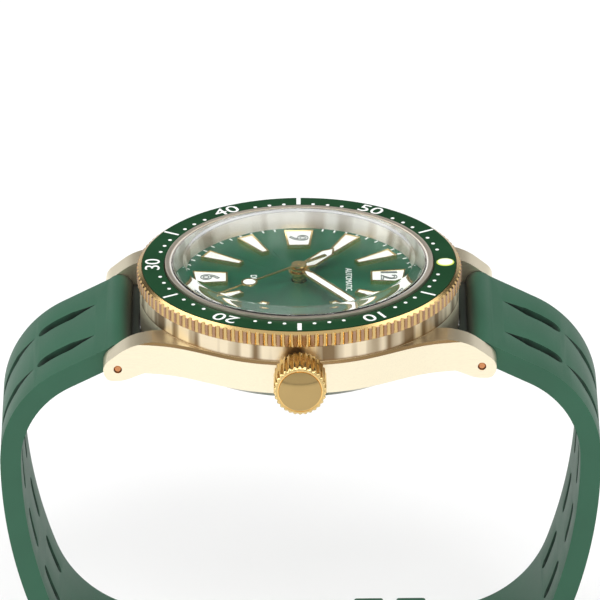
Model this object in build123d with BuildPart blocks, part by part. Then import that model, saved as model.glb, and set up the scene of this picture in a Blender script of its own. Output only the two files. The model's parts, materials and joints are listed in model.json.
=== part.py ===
"""Dive watch: a 39 mm champagne-bronze diver with its movement, buckled on a rubber strap.

Frame: the origin is the centre of the case back's flat face, on the axis of the hands. +Z points out of
the crystal, +X points to 12 o'clock and -Y to 3 o'clock, where the crown is. Millimetres.
"""

from build123d import *
from math import acos, atan2, cos, degrees, hypot, pi, radians, sin, sqrt
import os

# ---- heights of the case stack ----
BACK_PLATE = 0.8  # thickness of the case back's plate
CASE_BOTTOM = 2.4  # underside of the mid-case, where the case back seats
SPIGOT_TOP = 4.0  # the case back's threaded spigot ends here
FLANK_TOP = 6.4  # top face of the mid-case
NECK_TOP = 8.35  # the turned neck under the bezel
DIAL_BOTTOM, DIAL_TOP = 7.5, 7.8
SEAT_Z = 10.0  # shelf that the crystal stands on
INSERT_TOP = 10.4
LIP_TOP = 10.7  # fixed lip round the crystal
CRYSTAL_WALL = 10.75  # the crystal's upright wall ends here
CRYSTAL_BEVEL = 11.25  # and its bevel here
CRYSTAL_TOP = 12.3
CRYSTAL_UNDER = 11.3  # middle of its underside
INSERT_BED = 9.75  # shelf of the bezel ring that the insert lies on
RING_BOTTOM, RING_TOP = 8.42, 10.3

# ---- radii of the case ----
BORE_R = 15.05
NECK_R = 19.15
LIP_R = 16.1
CRYSTAL_R = 15.35
CRYSTAL_BEVEL_R = 13.9
CRYSTAL_SEAT_R = 15.55
BEZEL_R = 19.5
INSERT_IN, INSERT_OUT = 16.25, 18.85
PIP_R = 1.1
KNURLS = 120
KNURL_R, KNURL_OUT = 0.33, 0.06  # radius of a flute, and how far its centre lies outside the ring

# ---- case plan, one quadrant: towards 12 o'clock, towards 9 o'clock ----
FLANK = [(0, 19.45), (3.5, 19.2), (7.4, 18.1), (11.3, 16.1), (15.2, 14.2), (19.2, 13.4), (25.0, 13.2)]
LUG_TIP = 23.45
FLANK_END = FLANK[-1][0]
LUG_IN = 10.0  # half of the 20 mm lug width
LUG_TOP = [(17.6, 6.4), (20.8, 5.4), (22.4, 4.2), (LUG_TIP, 2.7)]
LUG_UNDER = [(22.9, 1.45), (21.5, 1.3), (18.5, CASE_BOTTOM)]
BAR_X, BAR_Z = 21.7, 2.8  # spring-bar axis
LUG_HOLE_R = 0.5

# ---- crown ----
STEM_Z = 5.1
CROWN_BACK, CROWN_END = -20.0, -24.5
CROWN_R = 3.15
CROWN_FACE_R = 2.9
CROWN_TEETH = 30
TUBE_R = 1.45
STEM_R = 0.45

# ---- movement heights, in the movement's own frame, which lies lower than the case's ----
MOVEMENT_DROP = 0.5
PLATE_Z0, PLATE_Z1 = 6.5, 7.2
BRIDGE_Z0, BRIDGE_Z1 = 3.1, 3.7
MOVEMENT_R = 12.8
RIM_IN = 12.25
PIVOT_R, JEWEL_IN, JEWEL_R = 0.12, 0.16, 0.55
STEM_LEVEL = STEM_Z + MOVEMENT_DROP

# ---- strap, measured from the spring-bar axis ----
STRAP_OUT, STRAP_IN = 1.6, 0.9  # outer and inner face, either side of the path
STRAP_HALF = 9.85
STRAP_HALF_LOW = 9.0
RUN = 7.0
SLOPE = 27.0
BENDS = [(12.0, 63.0), (60.0, 20.0), (15.0, 70.0)]  # radius and turn of each bend, from the lug down
EYE_R = 1.7
BUCKLE_BAR_X = 4.0
KEEPER_WALL, KEEPER_LONG = 1.0, 3.6


def clock(hours):
    """Direction angle of a dial position, in degrees about Z, from its hours."""
    return -30.0 * hours


def polar(radius, angle):
    return (radius * cos(radians(angle)), radius * sin(radians(angle)))


def tube_part(r_out, r_in, z0, z1, centre=(0, 0)):
    """A round tube between two heights."""
    with BuildPart() as tube:
        with BuildSketch(Plane.XY.offset(z0)):
            with Locations(centre):
                Circle(r_out)
                Circle(r_in, mode=Mode.SUBTRACT)
        extrude(amount=z1 - z0)
    return tube


def disc(radius, z0, z1, centre=(0, 0), mode=Mode.ADD):
    """Adds or cuts an upright cylinder in the part that is being built."""
    with BuildSketch(Plane.XY.offset(z0)) as round_face:
        with Locations(centre):
            Circle(radius)
    extrude(round_face.sketch, amount=z1 - z0, mode=mode)


def rod(radius, start, end, mode=Mode.ADD):
    """Adds or cuts a straight rod between two points."""
    run = Vector(*end) - Vector(*start)
    with BuildSketch(Plane(origin=start, z_dir=run.normalized())) as round_face:
        Circle(radius)
    extrude(round_face.sketch, amount=run.length, mode=mode)


def dome(radius, edge, top):
    """Draws an arc from the axis out to a radius, round a centre on the axis."""
    rise = top - edge
    ball = (radius**2 + rise**2) / (2 * abs(rise))
    half = radius / 2
    drop = ball - sqrt(ball**2 - half**2)
    ThreePointArc((0, top), (half, top - drop if rise > 0 else top + drop), (radius, edge))


def turned(points, mode=Mode.ADD):
    """Revolves a profile of (radius, height) points about the axis of the hands."""
    with BuildSketch(Plane.XZ) as profile:
        with BuildLine():
            Polyline(*points, close=True)
        make_face()
    revolve(profile.sketch, axis=Axis.Z, mode=mode)


# ---------------------------------------------------------------- gears


def gear_sketch(teeth, module, phase=0.0, share=0.3):
    """Draws a gear's outline: straight-flanked teeth, thin enough to leave a watch train's shake."""
    r = module * teeth / 2
    root, tip = r - 1.15 * module, r + 0.8 * module
    pitch = 360 / teeth
    outline = []
    for i in range(teeth):
        middle = phase + i * pitch
        for radius, side in ((root, -0.58), (tip, -0.3), (tip, 0.3), (root, 0.58)):
            outline.append(polar(radius, middle + side * share * pitch))
    with BuildLine() as rim:
        Polyline(*outline, close=True)
    make_face(rim.edges())


def mesh_phase(a, teeth_a, phase_a, b, teeth_b):
    """Phase of gear b, so that its teeth stand in the gaps of gear a."""
    way = degrees(atan2(b[1] - a[1], b[0] - a[0]))
    return way + 180 + 360 / teeth_b * ((way - phase_a) * teeth_a / 360 + 0.5)


def wheel(teeth, module, z0, thick, centre, phase, windows):
    """Adds a toothed wheel with round windows at a height."""
    with BuildSketch(Plane(origin=(*centre, z0))) as gear:
        gear_sketch(teeth, module, phase)
        if windows:
            r = module * teeth / 2
            with PolarLocations(0.56 * r, windows):
                Circle(0.2 * r, mode=Mode.SUBTRACT)
    extrude(gear.sketch, amount=thick)


# ---------------------------------------------------------------- train layout

TRAIN_M, BARREL_M, ESCAPE_M, MOTION_M = 0.1, 0.13, 0.075, 0.1
FOURTH_PINION, THIRD_TEETH = 10, 80
THIRD_PINION, SECOND_TEETH = 10, 75
SECOND_PINION, BARREL_TEETH = 12, 84
FOURTH_TEETH, ESCAPE_PINION = 100, 10
CANNON_TEETH, MINUTE_TEETH = 12, 36
MINUTE_PINION, HOUR_TEETH = 10, 40

CENTRE = (0.0, 0.0)
BARREL = (-5.8, -2.5)
reach = BARREL_M * (SECOND_PINION + BARREL_TEETH) / 2
SECOND = (BARREL[0] + reach * cos(radians(75)), BARREL[1] + reach * sin(radians(75)))
to_third = TRAIN_M * (FOURTH_PINION + THIRD_TEETH) / 2
second_third = TRAIN_M * (THIRD_PINION + SECOND_TEETH) / 2
second_far = hypot(*SECOND)
corner = acos((to_third**2 + second_far**2 - second_third**2) / (2 * to_third * second_far))
THIRD = polar(to_third, degrees(atan2(SECOND[1], SECOND[0]) - corner))
ESCAPE = polar(ESCAPE_M * (FOURTH_TEETH + ESCAPE_PINION) / 2, 20)
BALANCE = (7.2, -4.0)
line_out = hypot(BALANCE[0] - ESCAPE[0], BALANCE[1] - ESCAPE[1])
LEVER_WAY = ((BALANCE[0] - ESCAPE[0]) / line_out, (BALANCE[1] - ESCAPE[1]) / line_out)
LEVER_SIDE = (-LEVER_WAY[1], LEVER_WAY[0])
PALLET = (ESCAPE[0] + 2.75 * LEVER_WAY[0], ESCAPE[1] + 2.75 * LEVER_WAY[1])
MINUTE = polar(MOTION_M * (CANNON_TEETH + MINUTE_TEETH) / 2, -60)
MINUTE_PINION_M = 2 * hypot(*MINUTE) / (MINUTE_PINION + HOUR_TEETH)
PILLARS = [(0.4, 10.9), (8.6, 6.4), (-8.6, 7.2), (-3.7, -10.4)]
COCK_FOOT = (11.1, 0.4)
TRAIN_PIVOTS = [SECOND, THIRD, ESCAPE]


def lever_point(along, across):
    """A point of the lever's plane: along the line from the escape wheel to the balance, and across it."""
    return (
        PALLET[0] + along * LEVER_WAY[0] + across * LEVER_SIDE[0],
        PALLET[1] + along * LEVER_WAY[1] + across * LEVER_SIDE[1],
    )


PALLET_POSTS = [lever_point(0, 2.7), lever_point(0.8, -2.0)]

pieces = {}

# ---------------------------------------------------------------- mid-case

with BuildPart() as mid_case:
    with BuildSketch(Plane.XY.offset(1.0)):
        with BuildLine():
            sides = [FLANK, [(x, -y) for x, y in FLANK]]
            for side in sides:
                flank = Spline(*[(-x, y) for x, y in reversed(side[1:])], *side)
                Line(flank @ 0, (-FLANK_END, 0))
                Line(flank @ 1, (FLANK_END, 0))
        make_face()
    extrude(amount=FLANK_TOP - 1.0)
    # the polished bevel along the top of each flank
    long_edges = edges().group_by(Axis.Z)[-1].sort_by(SortBy.LENGTH)[-2:]
    chamfer(long_edges, length=0.3)
    # the lugs slope down to their tips, and the underside is flat between them
    with BuildSketch(Plane.XZ):
        with BuildLine():
            Polyline((0, FLANK_TOP), LUG_TOP[0])
            top_line = Spline(*LUG_TOP, tangents=((1, -0.12), (0.15, -1)))
            under_line = Spline(top_line @ 1, *LUG_UNDER[:2], tangents=((-0.1, -1), (-1, 0.02)))
            lug_root = Spline(under_line @ 1, (20.0, 1.75), LUG_UNDER[2], tangents=((-1, 0.1), (-1, 0.35)))
            Polyline(lug_root @ 1, (0, CASE_BOTTOM), (0, FLANK_TOP))
        make_face()
        mirror(about=Plane.YZ)
    extrude(amount=30, both=True, mode=Mode.INTERSECT)
    # the space between each pair of lugs
    with BuildSketch(Plane.XY):
        with GridLocations(2 * 24, 0, 2, 1):
            Rectangle(2 * 9.5, 2 * LUG_IN)
        Circle(NECK_R, mode=Mode.SUBTRACT)
    extrude(amount=12, mode=Mode.SUBTRACT)
    disc(NECK_R, CASE_BOTTOM, NECK_TOP)
    disc(LIP_R, NECK_TOP, LIP_TOP)
    disc(BORE_R + 0.1, CASE_BOTTOM - 1, SPIGOT_TOP, mode=Mode.SUBTRACT)
    disc(BORE_R, SPIGOT_TOP, SEAT_Z, mode=Mode.SUBTRACT)
    disc(CRYSTAL_SEAT_R, SEAT_Z, LIP_TOP, mode=Mode.SUBTRACT)
    # groove for the bezel's retaining wire, and the click spring's seat
    turned([(LIP_R - 0.2, 8.9), (LIP_R + 1, 8.9), (LIP_R + 1, 9.2), (LIP_R - 0.2, 9.2)], Mode.SUBTRACT)
    turned([(16.5, 7.95), (18.3, 7.95), (18.3, NECK_TOP + 1), (16.5, NECK_TOP + 1)], Mode.SUBTRACT)
    rod(TUBE_R, (0, -13, STEM_Z), (0, -21, STEM_Z), Mode.SUBTRACT)
    for side in (-1, 1):
        rod(LUG_HOLE_R, (side * BAR_X, -16, BAR_Z), (side * BAR_X, 16, BAR_Z), Mode.SUBTRACT)
pieces["mid_case"] = mid_case

with BuildPart() as case_back:
    turned(
        [(0, 0), (15.3, 0), (16.4, 1.1), (16.4, CASE_BOTTOM), (BORE_R, CASE_BOTTOM)]
        + [(BORE_R, SPIGOT_TOP), (14.1, SPIGOT_TOP), (14.1, BACK_PLATE), (0, BACK_PLATE)]
    )
    turned([(15.35, 2.0), (15.95, 2.0), (15.95, CASE_BOTTOM + 1), (15.35, CASE_BOTTOM + 1)], Mode.SUBTRACT)
    # six flats for the case wrench
    with BuildSketch(Plane.XY):
        with PolarLocations(16.3, 6, start_angle=30):
            Rectangle(1.5, 3.4)
    extrude(amount=0.75, mode=Mode.SUBTRACT)
pieces["case_back"] = case_back
pieces["case_back_gasket"] = tube_part(15.9, 15.4, 2.0, CASE_BOTTOM)

with BuildPart() as crystal:
    with BuildSketch(Plane.XZ):
        with BuildLine():
            foot, under_edge = (14.55, SEAT_Z), (13.7, 10.35)
            bevel_edge = (CRYSTAL_BEVEL_R, CRYSTAL_BEVEL)
            Polyline(foot, (CRYSTAL_R, SEAT_Z), (CRYSTAL_R, CRYSTAL_WALL), bevel_edge)
            dome(*bevel_edge, CRYSTAL_TOP)
            Line((0, CRYSTAL_TOP), (0, CRYSTAL_UNDER))
            dome(*under_edge, CRYSTAL_UNDER)
            Line(under_edge, foot)
        make_face()
    revolve(axis=Axis.Z)
pieces["crystal"] = crystal
pieces["crystal_gasket"] = tube_part(CRYSTAL_SEAT_R, CRYSTAL_R, SEAT_Z, LIP_TOP - 0.1)

with BuildPart() as rehaut:
    wall, top = BORE_R - 0.05, SEAT_Z - 0.02
    turned([(14.2, DIAL_TOP), (wall, DIAL_TOP), (wall, top), (14.85, top)])
pieces["rehaut"] = rehaut

# ---------------------------------------------------------------- bezel

with BuildPart() as bezel_ring:
    with BuildSketch(Plane.XY.offset(RING_BOTTOM)):
        Circle(BEZEL_R)
        with PolarLocations(BEZEL_R + KNURL_OUT, KNURLS):
            Circle(KNURL_R, mode=Mode.SUBTRACT)
    extrude(amount=RING_TOP - RING_BOTTOM)
    # the polished bevel round the insert, and the knurl's lower corner turned off
    turned([(18.95, RING_TOP), (BEZEL_R + 0.2, 9.8), (BEZEL_R + 0.2, 11), (18.95, 11)], Mode.SUBTRACT)
    corner_in = (BEZEL_R - 0.2, RING_BOTTOM)
    turned([(BEZEL_R - 0.2, 8), corner_in, (BEZEL_R + 0.2, 8.75), (BEZEL_R + 1, 8)], Mode.SUBTRACT)
    disc(LIP_R + 0.05, 8, 11, mode=Mode.SUBTRACT)
    disc(INSERT_OUT + 0.02, INSERT_BED, 11, mode=Mode.SUBTRACT)
    turned([(LIP_R - 1, 8.85), (LIP_R + 0.3, 8.85), (LIP_R + 0.3, 9.25), (LIP_R - 1, 9.25)], Mode.SUBTRACT)
pieces["bezel_ring"] = bezel_ring

PIP = polar(17.56, 0)
with BuildPart() as bezel_insert:
    with BuildSketch(Plane.XY.offset(INSERT_BED)):
        Circle(INSERT_OUT)
        Circle(INSERT_IN, mode=Mode.SUBTRACT)
        with Locations(PIP):
            Circle(PIP_R, mode=Mode.SUBTRACT)
    extrude(amount=INSERT_TOP - INSERT_BED)
pieces["bezel_insert"] = bezel_insert

with BuildPart() as bezel_pip:
    disc(PIP_R, INSERT_BED, INSERT_TOP + 0.05, PIP)
    fillet(edges().group_by(Axis.Z)[-1], 0.15)
pieces["bezel_pip"] = bezel_pip

with BuildPart() as bezel_click_spring:
    with BuildSketch(Plane.XY.offset(7.95)):
        Circle(18.2)
        Circle(16.6, mode=Mode.SUBTRACT)
        with PolarLocations(17.4, 3):
            Rectangle(1.0, 5.0, mode=Mode.SUBTRACT)
    extrude(amount=0.25)
    # three sprung leaves stand up in the ring's windows
    with BuildSketch(Plane.XY.offset(7.95)):
        with PolarLocations(17.4, 3):
            with Locations((0, -0.5)):
                Rectangle(0.7, 4.2)
    extrude(amount=0.35)
pieces["bezel_click_spring"] = bezel_click_spring
pieces["bezel_retaining_wire"] = tube_part(LIP_R + 0.2, LIP_R - 0.18, 8.92, 9.18)

# ---------------------------------------------------------------- crown


def crown_side(points, mode=Mode.ADD):
    """Revolves (radius, y) points about the crown's axis."""
    with BuildSketch(Plane.XY.offset(STEM_Z)) as profile:
        with BuildLine():
            Polyline(*points, close=True)
        make_face()
    revolve(profile.sketch, axis=Axis((0, 0, STEM_Z), (0, 1, 0)), mode=mode)


with BuildPart() as crown:
    with BuildSketch(Plane(origin=(0, CROWN_BACK, STEM_Z), x_dir=(1, 0, 0), z_dir=(0, -1, 0))):
        Circle(CROWN_R)
        with PolarLocations(CROWN_R + 0.03, CROWN_TEETH):
            Circle(0.2, mode=Mode.SUBTRACT)
    extrude(amount=CROWN_BACK - CROWN_END)
    # both ends of the knurl are turned off
    for end, way in ((CROWN_END, 1), (CROWN_BACK, -1)):
        corner_cut = [(CROWN_R - 0.3, end), (CROWN_R + 0.1, end + 0.4 * way)]
        crown_side([*corner_cut, (CROWN_R + 0.5, end), (CROWN_R - 0.3, end - 0.2 * way)], Mode.SUBTRACT)
    # the domed, polished face with the shoulder round it
    face_edge = CROWN_END - 0.1
    face_top = CROWN_END - 0.6
    with BuildSketch(Plane.XY.offset(STEM_Z)):
        with BuildLine():
            Polyline((0, CROWN_BACK - 1), (CROWN_FACE_R, CROWN_BACK - 1), (CROWN_FACE_R, face_edge))
            dome(CROWN_FACE_R, face_edge, face_top)
            Line((0, face_top), (0, CROWN_BACK - 1))
        make_face()
    revolve(axis=Axis((0, 0, STEM_Z), (0, 1, 0)))
    crown_side([(0, -19), (2.0, -19), (2.0, -21.9), (0, -21.9)], Mode.SUBTRACT)
pieces["crown"] = crown

with BuildPart() as crown_tube:
    rod(TUBE_R, (0, -15.15, STEM_Z), (0, -21.5, STEM_Z))
    rod(STEM_R + 0.08, (0, -14, STEM_Z), (0, -22, STEM_Z), Mode.SUBTRACT)
    crown_side([(TUBE_R, -19.45), (1.9, -19.45), (1.9, -19.8), (TUBE_R, -19.8)])
pieces["crown_tube"] = crown_tube

with BuildPart() as crown_gasket:
    rod(1.98, (0, -20.9, STEM_Z), (0, -21.4, STEM_Z))
    rod(TUBE_R + 0.05, (0, -20, STEM_Z), (0, -22, STEM_Z), Mode.SUBTRACT)
pieces["crown_gasket"] = crown_gasket

with BuildPart() as winding_stem:
    rod(STEM_R, (0, -9.0, STEM_Z), (0, -21.9, STEM_Z))
    # the square that drives the clutch
    rod(0.3, (0, -8.2, STEM_Z), (0, -9.0, STEM_Z))
pieces["winding_stem"] = winding_stem

# ---------------------------------------------------------------- dial, markers and hands

with BuildPart() as dial:
    disc(BORE_R - 0.1, DIAL_BOTTOM, DIAL_TOP)
    disc(0.95, DIAL_BOTTOM, DIAL_TOP, mode=Mode.SUBTRACT)
pieces["dial"] = dial

MARKER_IN, MARKER_OUT = 7.9, 12.9
PLOT_IN, PLOT_OUT = 8.5, 12.7
FRAME_WALL = 0.22


def marker_points(hour, wall=0.0):
    """The four corners of an hour marker, or of the lume inside its frame."""
    big = hour % 3 == 0
    near, far = (PLOT_IN, PLOT_OUT) if big else (MARKER_IN, MARKER_OUT)
    w_in, w_out = (1.35, 1.75) if big else (0.5, 1.05)
    near, far, w_in, w_out = near + wall, far - wall, w_in - wall, w_out - wall
    return [(near, -w_in), (far, -w_out), (far, w_out), (near, w_in)]


def marker_sketch(hour, wall=0.0, mode=Mode.ADD):
    way = radians(clock(hour))
    outline = marker_points(hour, wall)
    corners = [(x * cos(way) - y * sin(way), x * sin(way) + y * cos(way)) for x, y in outline]
    with BuildLine() as rim:
        Polyline(*corners, close=True)
    make_face(rim.edges(), mode=mode)


with BuildPart() as hour_markers:
    with BuildSketch(Plane.XY.offset(DIAL_TOP)):
        for hour in range(12):
            marker_sketch(hour)
            marker_sketch(hour, FRAME_WALL, Mode.SUBTRACT)
    extrude(amount=0.45)
pieces["hour_markers"] = hour_markers

with BuildPart() as marker_lume:
    with BuildSketch(Plane.XY.offset(DIAL_TOP)):
        for hour in range(12):
            marker_sketch(hour, FRAME_WALL)
    extrude(amount=0.4)
pieces["marker_lume"] = marker_lume

SECONDS_NOW = 23.5
MINUTES_NOW = 9 + SECONDS_NOW / 60
HOUR_WAY = clock(10 + MINUTES_NOW / 60)
MINUTE_WAY = -6 * MINUTES_NOW
SECONDS_WAY = -6 * SECONDS_NOW
HOUR_Z, MINUTE_Z, SECONDS_Z = 8.8, 9.2, 9.6
HAND_THICK = 0.18
HOUR_HALF = [(1.0, 0.28), (2.2, 0.95), (5.9, 0.95), (7.4, 0.0)]
MINUTE_HALF = [(0.8, 0.3), (2.2, 0.68), (11.2, 0.68), (12.05, 0.0)]


def hand_sketch(half, shrink=0.0):
    """Draws a symmetrical hand pointing along the sketch's X, from one half of its outline."""
    start, first, last, tip = half
    edge = [
        (start[0] + (2.2 * shrink if shrink else 0), max(start[1] - shrink, 0.08)),
        (first[0] + 0.6 * shrink, first[1] - shrink),
        (last[0] - 0.3 * shrink, last[1] - shrink),
        (tip[0] - 1.4 * shrink, 0.0),
    ]
    with BuildLine() as rim:
        Polyline(*edge, *[(x, -y) for x, y in reversed(edge[:-1])], close=True)
    make_face(rim.edges())


def hand_plane(z, way):
    return Plane(origin=(0, 0, z), x_dir=(cos(radians(way)), sin(radians(way)), 0), z_dir=(0, 0, 1))


def lumed_hand(half, z, way, hub, bore, lume_from):
    """A framed hand and the lume that fills its window, as two parts."""
    with BuildPart() as frame:
        with BuildSketch(hand_plane(z, way)):
            hand_sketch(half)
            Circle(hub)
        extrude(amount=HAND_THICK)
        with BuildSketch(hand_plane(z, way)):
            hand_sketch(lume_from, 0.26)
        extrude(amount=HAND_THICK, mode=Mode.SUBTRACT)
        disc(hub, z, z + HAND_THICK)
        disc(bore, z - 1, z + 1, mode=Mode.SUBTRACT)
    with BuildPart() as lume:
        with BuildSketch(hand_plane(z + 0.02, way)):
            hand_sketch(lume_from, 0.26)
            Circle(hub, mode=Mode.SUBTRACT)
        extrude(amount=HAND_THICK - 0.04)
    return frame, lume


hour_hand, hour_hand_lume = lumed_hand(HOUR_HALF, HOUR_Z, HOUR_WAY, 1.25, 0.8, HOUR_HALF)
minute_hand, minute_hand_lume = lumed_hand(MINUTE_HALF, MINUTE_Z, MINUTE_WAY, 1.05, 0.55, MINUTE_HALF)
pieces["hour_hand"], pieces["hour_hand_lume"] = hour_hand, hour_hand_lume
pieces["minute_hand"], pieces["minute_hand_lume"] = minute_hand, minute_hand_lume

LOLLIPOP_R = 7.6
with BuildPart() as seconds_hand:
    with BuildSketch(hand_plane(SECONDS_Z, SECONDS_WAY)):
        with BuildLine():
            side = [(-4.1, 0.22), (0, 0.16), (12.4, 0.07)]
            Polyline(*side, *[(x, -y) for x, y in reversed(side)], close=True)
        make_face()
        Circle(0.9)
        with Locations((LOLLIPOP_R, 0)):
            Circle(0.98)
            Circle(0.74, mode=Mode.SUBTRACT)
        Circle(PIVOT_R, mode=Mode.SUBTRACT)
    extrude(amount=0.15)
pieces["seconds_hand"] = seconds_hand

with BuildPart() as seconds_hand_lume:
    with BuildSketch(hand_plane(SECONDS_Z, SECONDS_WAY)):
        with Locations((LOLLIPOP_R, 0)):
            Circle(0.74)
    extrude(amount=0.14)
pieces["seconds_hand_lume"] = seconds_hand_lume

# ---------------------------------------------------------------- movement: plates and bridges

with BuildPart() as main_plate:
    disc(MOVEMENT_R, BRIDGE_Z1, PLATE_Z1)
    disc(RIM_IN, BRIDGE_Z1, PLATE_Z0, mode=Mode.SUBTRACT)
    for spot in PILLARS + [COCK_FOOT]:
        disc(0.85, BRIDGE_Z1, PLATE_Z0, spot)
    # the block that guides the winding stem
    with BuildSketch(Plane.XY.offset(4.3)):
        with Locations((0, -10.6)):
            Rectangle(2.8, 3.6)
    extrude(amount=PLATE_Z0 - 4.3)
    rod(STEM_R + 0.05, (0, -8, STEM_LEVEL), (0, -13.5, STEM_LEVEL), Mode.SUBTRACT)
    for spot in TRAIN_PIVOTS + [PALLET, BALANCE]:
        disc(JEWEL_R, PLATE_Z0, PLATE_Z1, spot, Mode.SUBTRACT)
    disc(0.3, PLATE_Z0, PLATE_Z1, CENTRE, Mode.SUBTRACT)
    disc(0.65, PLATE_Z0, PLATE_Z1, BARREL, Mode.SUBTRACT)
    for spot in PALLET_POSTS:
        disc(0.28, PLATE_Z0, PLATE_Z1, spot, Mode.SUBTRACT)
    for spot in PILLARS + [COCK_FOOT]:
        disc(0.35, BRIDGE_Z1, 5.2, spot, Mode.SUBTRACT)
    disc(0.25, PLATE_Z1, 7.9, MINUTE)
pieces["main_plate"] = main_plate

with BuildPart() as train_bridge:
    disc(MOVEMENT_R, BRIDGE_Z0, BRIDGE_Z1)
    with BuildSketch(Plane.XY.offset(BRIDGE_Z0)):
        with Locations(BALANCE):
            Circle(4.4)
        with BuildLine():
            Polyline(BALANCE, polar(16, -50), polar(16, 10), (9.3, 2.3), close=True)
        make_face()
    extrude(amount=BRIDGE_Z1 - BRIDGE_Z0, mode=Mode.SUBTRACT)
    for spot in TRAIN_PIVOTS + [CENTRE]:
        disc(JEWEL_R, BRIDGE_Z0, BRIDGE_Z1, spot, Mode.SUBTRACT)
    disc(0.65, BRIDGE_Z0, BRIDGE_Z1, BARREL, Mode.SUBTRACT)
    for spot in PILLARS:
        disc(0.35, BRIDGE_Z0, BRIDGE_Z1, spot, Mode.SUBTRACT)
        disc(0.65, BRIDGE_Z0, 3.35, spot, Mode.SUBTRACT)
pieces["train_bridge"] = train_bridge

cock_run = (COCK_FOOT[0] - BALANCE[0], COCK_FOOT[1] - BALANCE[1])
with BuildPart() as balance_cock:
    with BuildSketch(Plane.XY.offset(BRIDGE_Z0)):
        with Locations(((COCK_FOOT[0] + BALANCE[0]) / 2, (COCK_FOOT[1] + BALANCE[1]) / 2)):
            SlotCenterToCenter(hypot(*cock_run), 2.2, rotation=degrees(atan2(cock_run[1], cock_run[0])))
    extrude(amount=BRIDGE_Z1 - BRIDGE_Z0)
    disc(JEWEL_R, BRIDGE_Z0, BRIDGE_Z1, BALANCE, Mode.SUBTRACT)
    disc(0.35, BRIDGE_Z0, BRIDGE_Z1, COCK_FOOT, Mode.SUBTRACT)
    disc(0.65, BRIDGE_Z0, 3.35, COCK_FOOT, Mode.SUBTRACT)
pieces["balance_cock"] = balance_cock

with BuildPart() as pallet_bridge:
    for post in PALLET_POSTS:
        with BuildSketch(Plane.XY.offset(4.8)):
            with Locations(((post[0] + PALLET[0]) / 2, (post[1] + PALLET[1]) / 2)):
                run = (post[0] - PALLET[0], post[1] - PALLET[1])
                SlotCenterToCenter(hypot(*run), 0.8, rotation=degrees(atan2(run[1], run[0])))
        extrude(amount=0.2)
        disc(0.4, 4.8, PLATE_Z0, post)
        disc(0.28, PLATE_Z0, PLATE_Z1, post)
    disc(0.55, 4.8, 5.0, PALLET)
    disc(JEWEL_IN, 4.7, 5.1, PALLET, Mode.SUBTRACT)
pieces["pallet_bridge"] = pallet_bridge

with BuildPart() as movement_screws:
    for spot in PILLARS + [COCK_FOOT]:
        disc(0.6, 3.12, 3.35, spot)
        disc(0.33, 3.35, 5.0, spot)
        with BuildSketch(Plane.XY.offset(3.12)):
            with Locations(spot):
                Rectangle(1.4, 0.16)
        extrude(amount=0.1, mode=Mode.SUBTRACT)
pieces["movement_screws"] = movement_screws

with BuildPart() as jewels:
    for spot in TRAIN_PIVOTS + [CENTRE, BALANCE]:
        disc(JEWEL_R, BRIDGE_Z0, BRIDGE_Z1, spot)
        disc(JEWEL_IN, BRIDGE_Z0, BRIDGE_Z1, spot, Mode.SUBTRACT)
    for spot in TRAIN_PIVOTS + [PALLET, BALANCE]:
        disc(JEWEL_R, PLATE_Z0, PLATE_Z1, spot)
        disc(JEWEL_IN, PLATE_Z0, PLATE_Z1, spot, Mode.SUBTRACT)
pieces["jewels"] = jewels

with BuildPart() as movement_ring:
    turned([(MOVEMENT_R, SPIGOT_TOP), (14.95, SPIGOT_TOP), (14.95, DIAL_BOTTOM), (MOVEMENT_R, DIAL_BOTTOM)])
    rod(0.8, (0, -12, STEM_Z), (0, -16, STEM_Z), Mode.SUBTRACT)
pieces["movement_ring"] = movement_ring
pieces["center_tube"] = tube_part(0.3, PIVOT_R + 0.05, PLATE_Z0, 9.2)

with BuildPart() as rotor_bearing:
    disc(1.6, 1.75, BRIDGE_Z0)
    disc(2.1, 1.45, 1.75)
pieces["rotor_bearing"] = rotor_bearing

with BuildPart() as rotor:
    with BuildSketch(Plane.XY.offset(1.82)):
        Circle(12.1)
        with Locations((0, -7.5)):
            Rectangle(26, 15, mode=Mode.SUBTRACT)
        Circle(2.6)
    extrude(amount=0.35)
    with BuildSketch(Plane.XY.offset(1.6)):
        Circle(12.1)
        Circle(10.3, mode=Mode.SUBTRACT)
        with Locations((0, -7.5)):
            Rectangle(26, 15, mode=Mode.SUBTRACT)
    extrude(amount=1.3)
    disc(1.66, 1, 3, mode=Mode.SUBTRACT)
pieces["rotor"] = rotor

# ---------------------------------------------------------------- movement: going train

barrel_phase = 0.0
second_pinion_phase = mesh_phase(BARREL, BARREL_TEETH, barrel_phase, SECOND, SECOND_PINION)
second_phase = 0.0
third_pinion_phase = mesh_phase(SECOND, SECOND_TEETH, second_phase, THIRD, THIRD_PINION)
third_phase = 0.0
fourth_pinion_phase = mesh_phase(THIRD, THIRD_TEETH, third_phase, CENTRE, FOURTH_PINION)
fourth_phase = 0.0
escape_pinion_phase = mesh_phase(CENTRE, FOURTH_TEETH, fourth_phase, ESCAPE, ESCAPE_PINION)

with BuildPart() as barrel:
    wheel(BARREL_TEETH, BARREL_M, 3.85, 0.4, BARREL, barrel_phase, 0)
    disc(5.1, 4.25, 5.3, BARREL)
    disc(4.7, 4.15, 5.1, BARREL, Mode.SUBTRACT)
    disc(0.6, 3.2, 6.95, BARREL)
pieces["barrel"] = barrel

with BuildPart() as mainspring:
    for turn in range(5):
        disc(4.6 - 0.42 * turn, 4.2, 5.05, BARREL)
        disc(4.45 - 0.42 * turn, 4.2, 5.05, BARREL, Mode.SUBTRACT)
pieces["mainspring"] = mainspring

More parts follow.
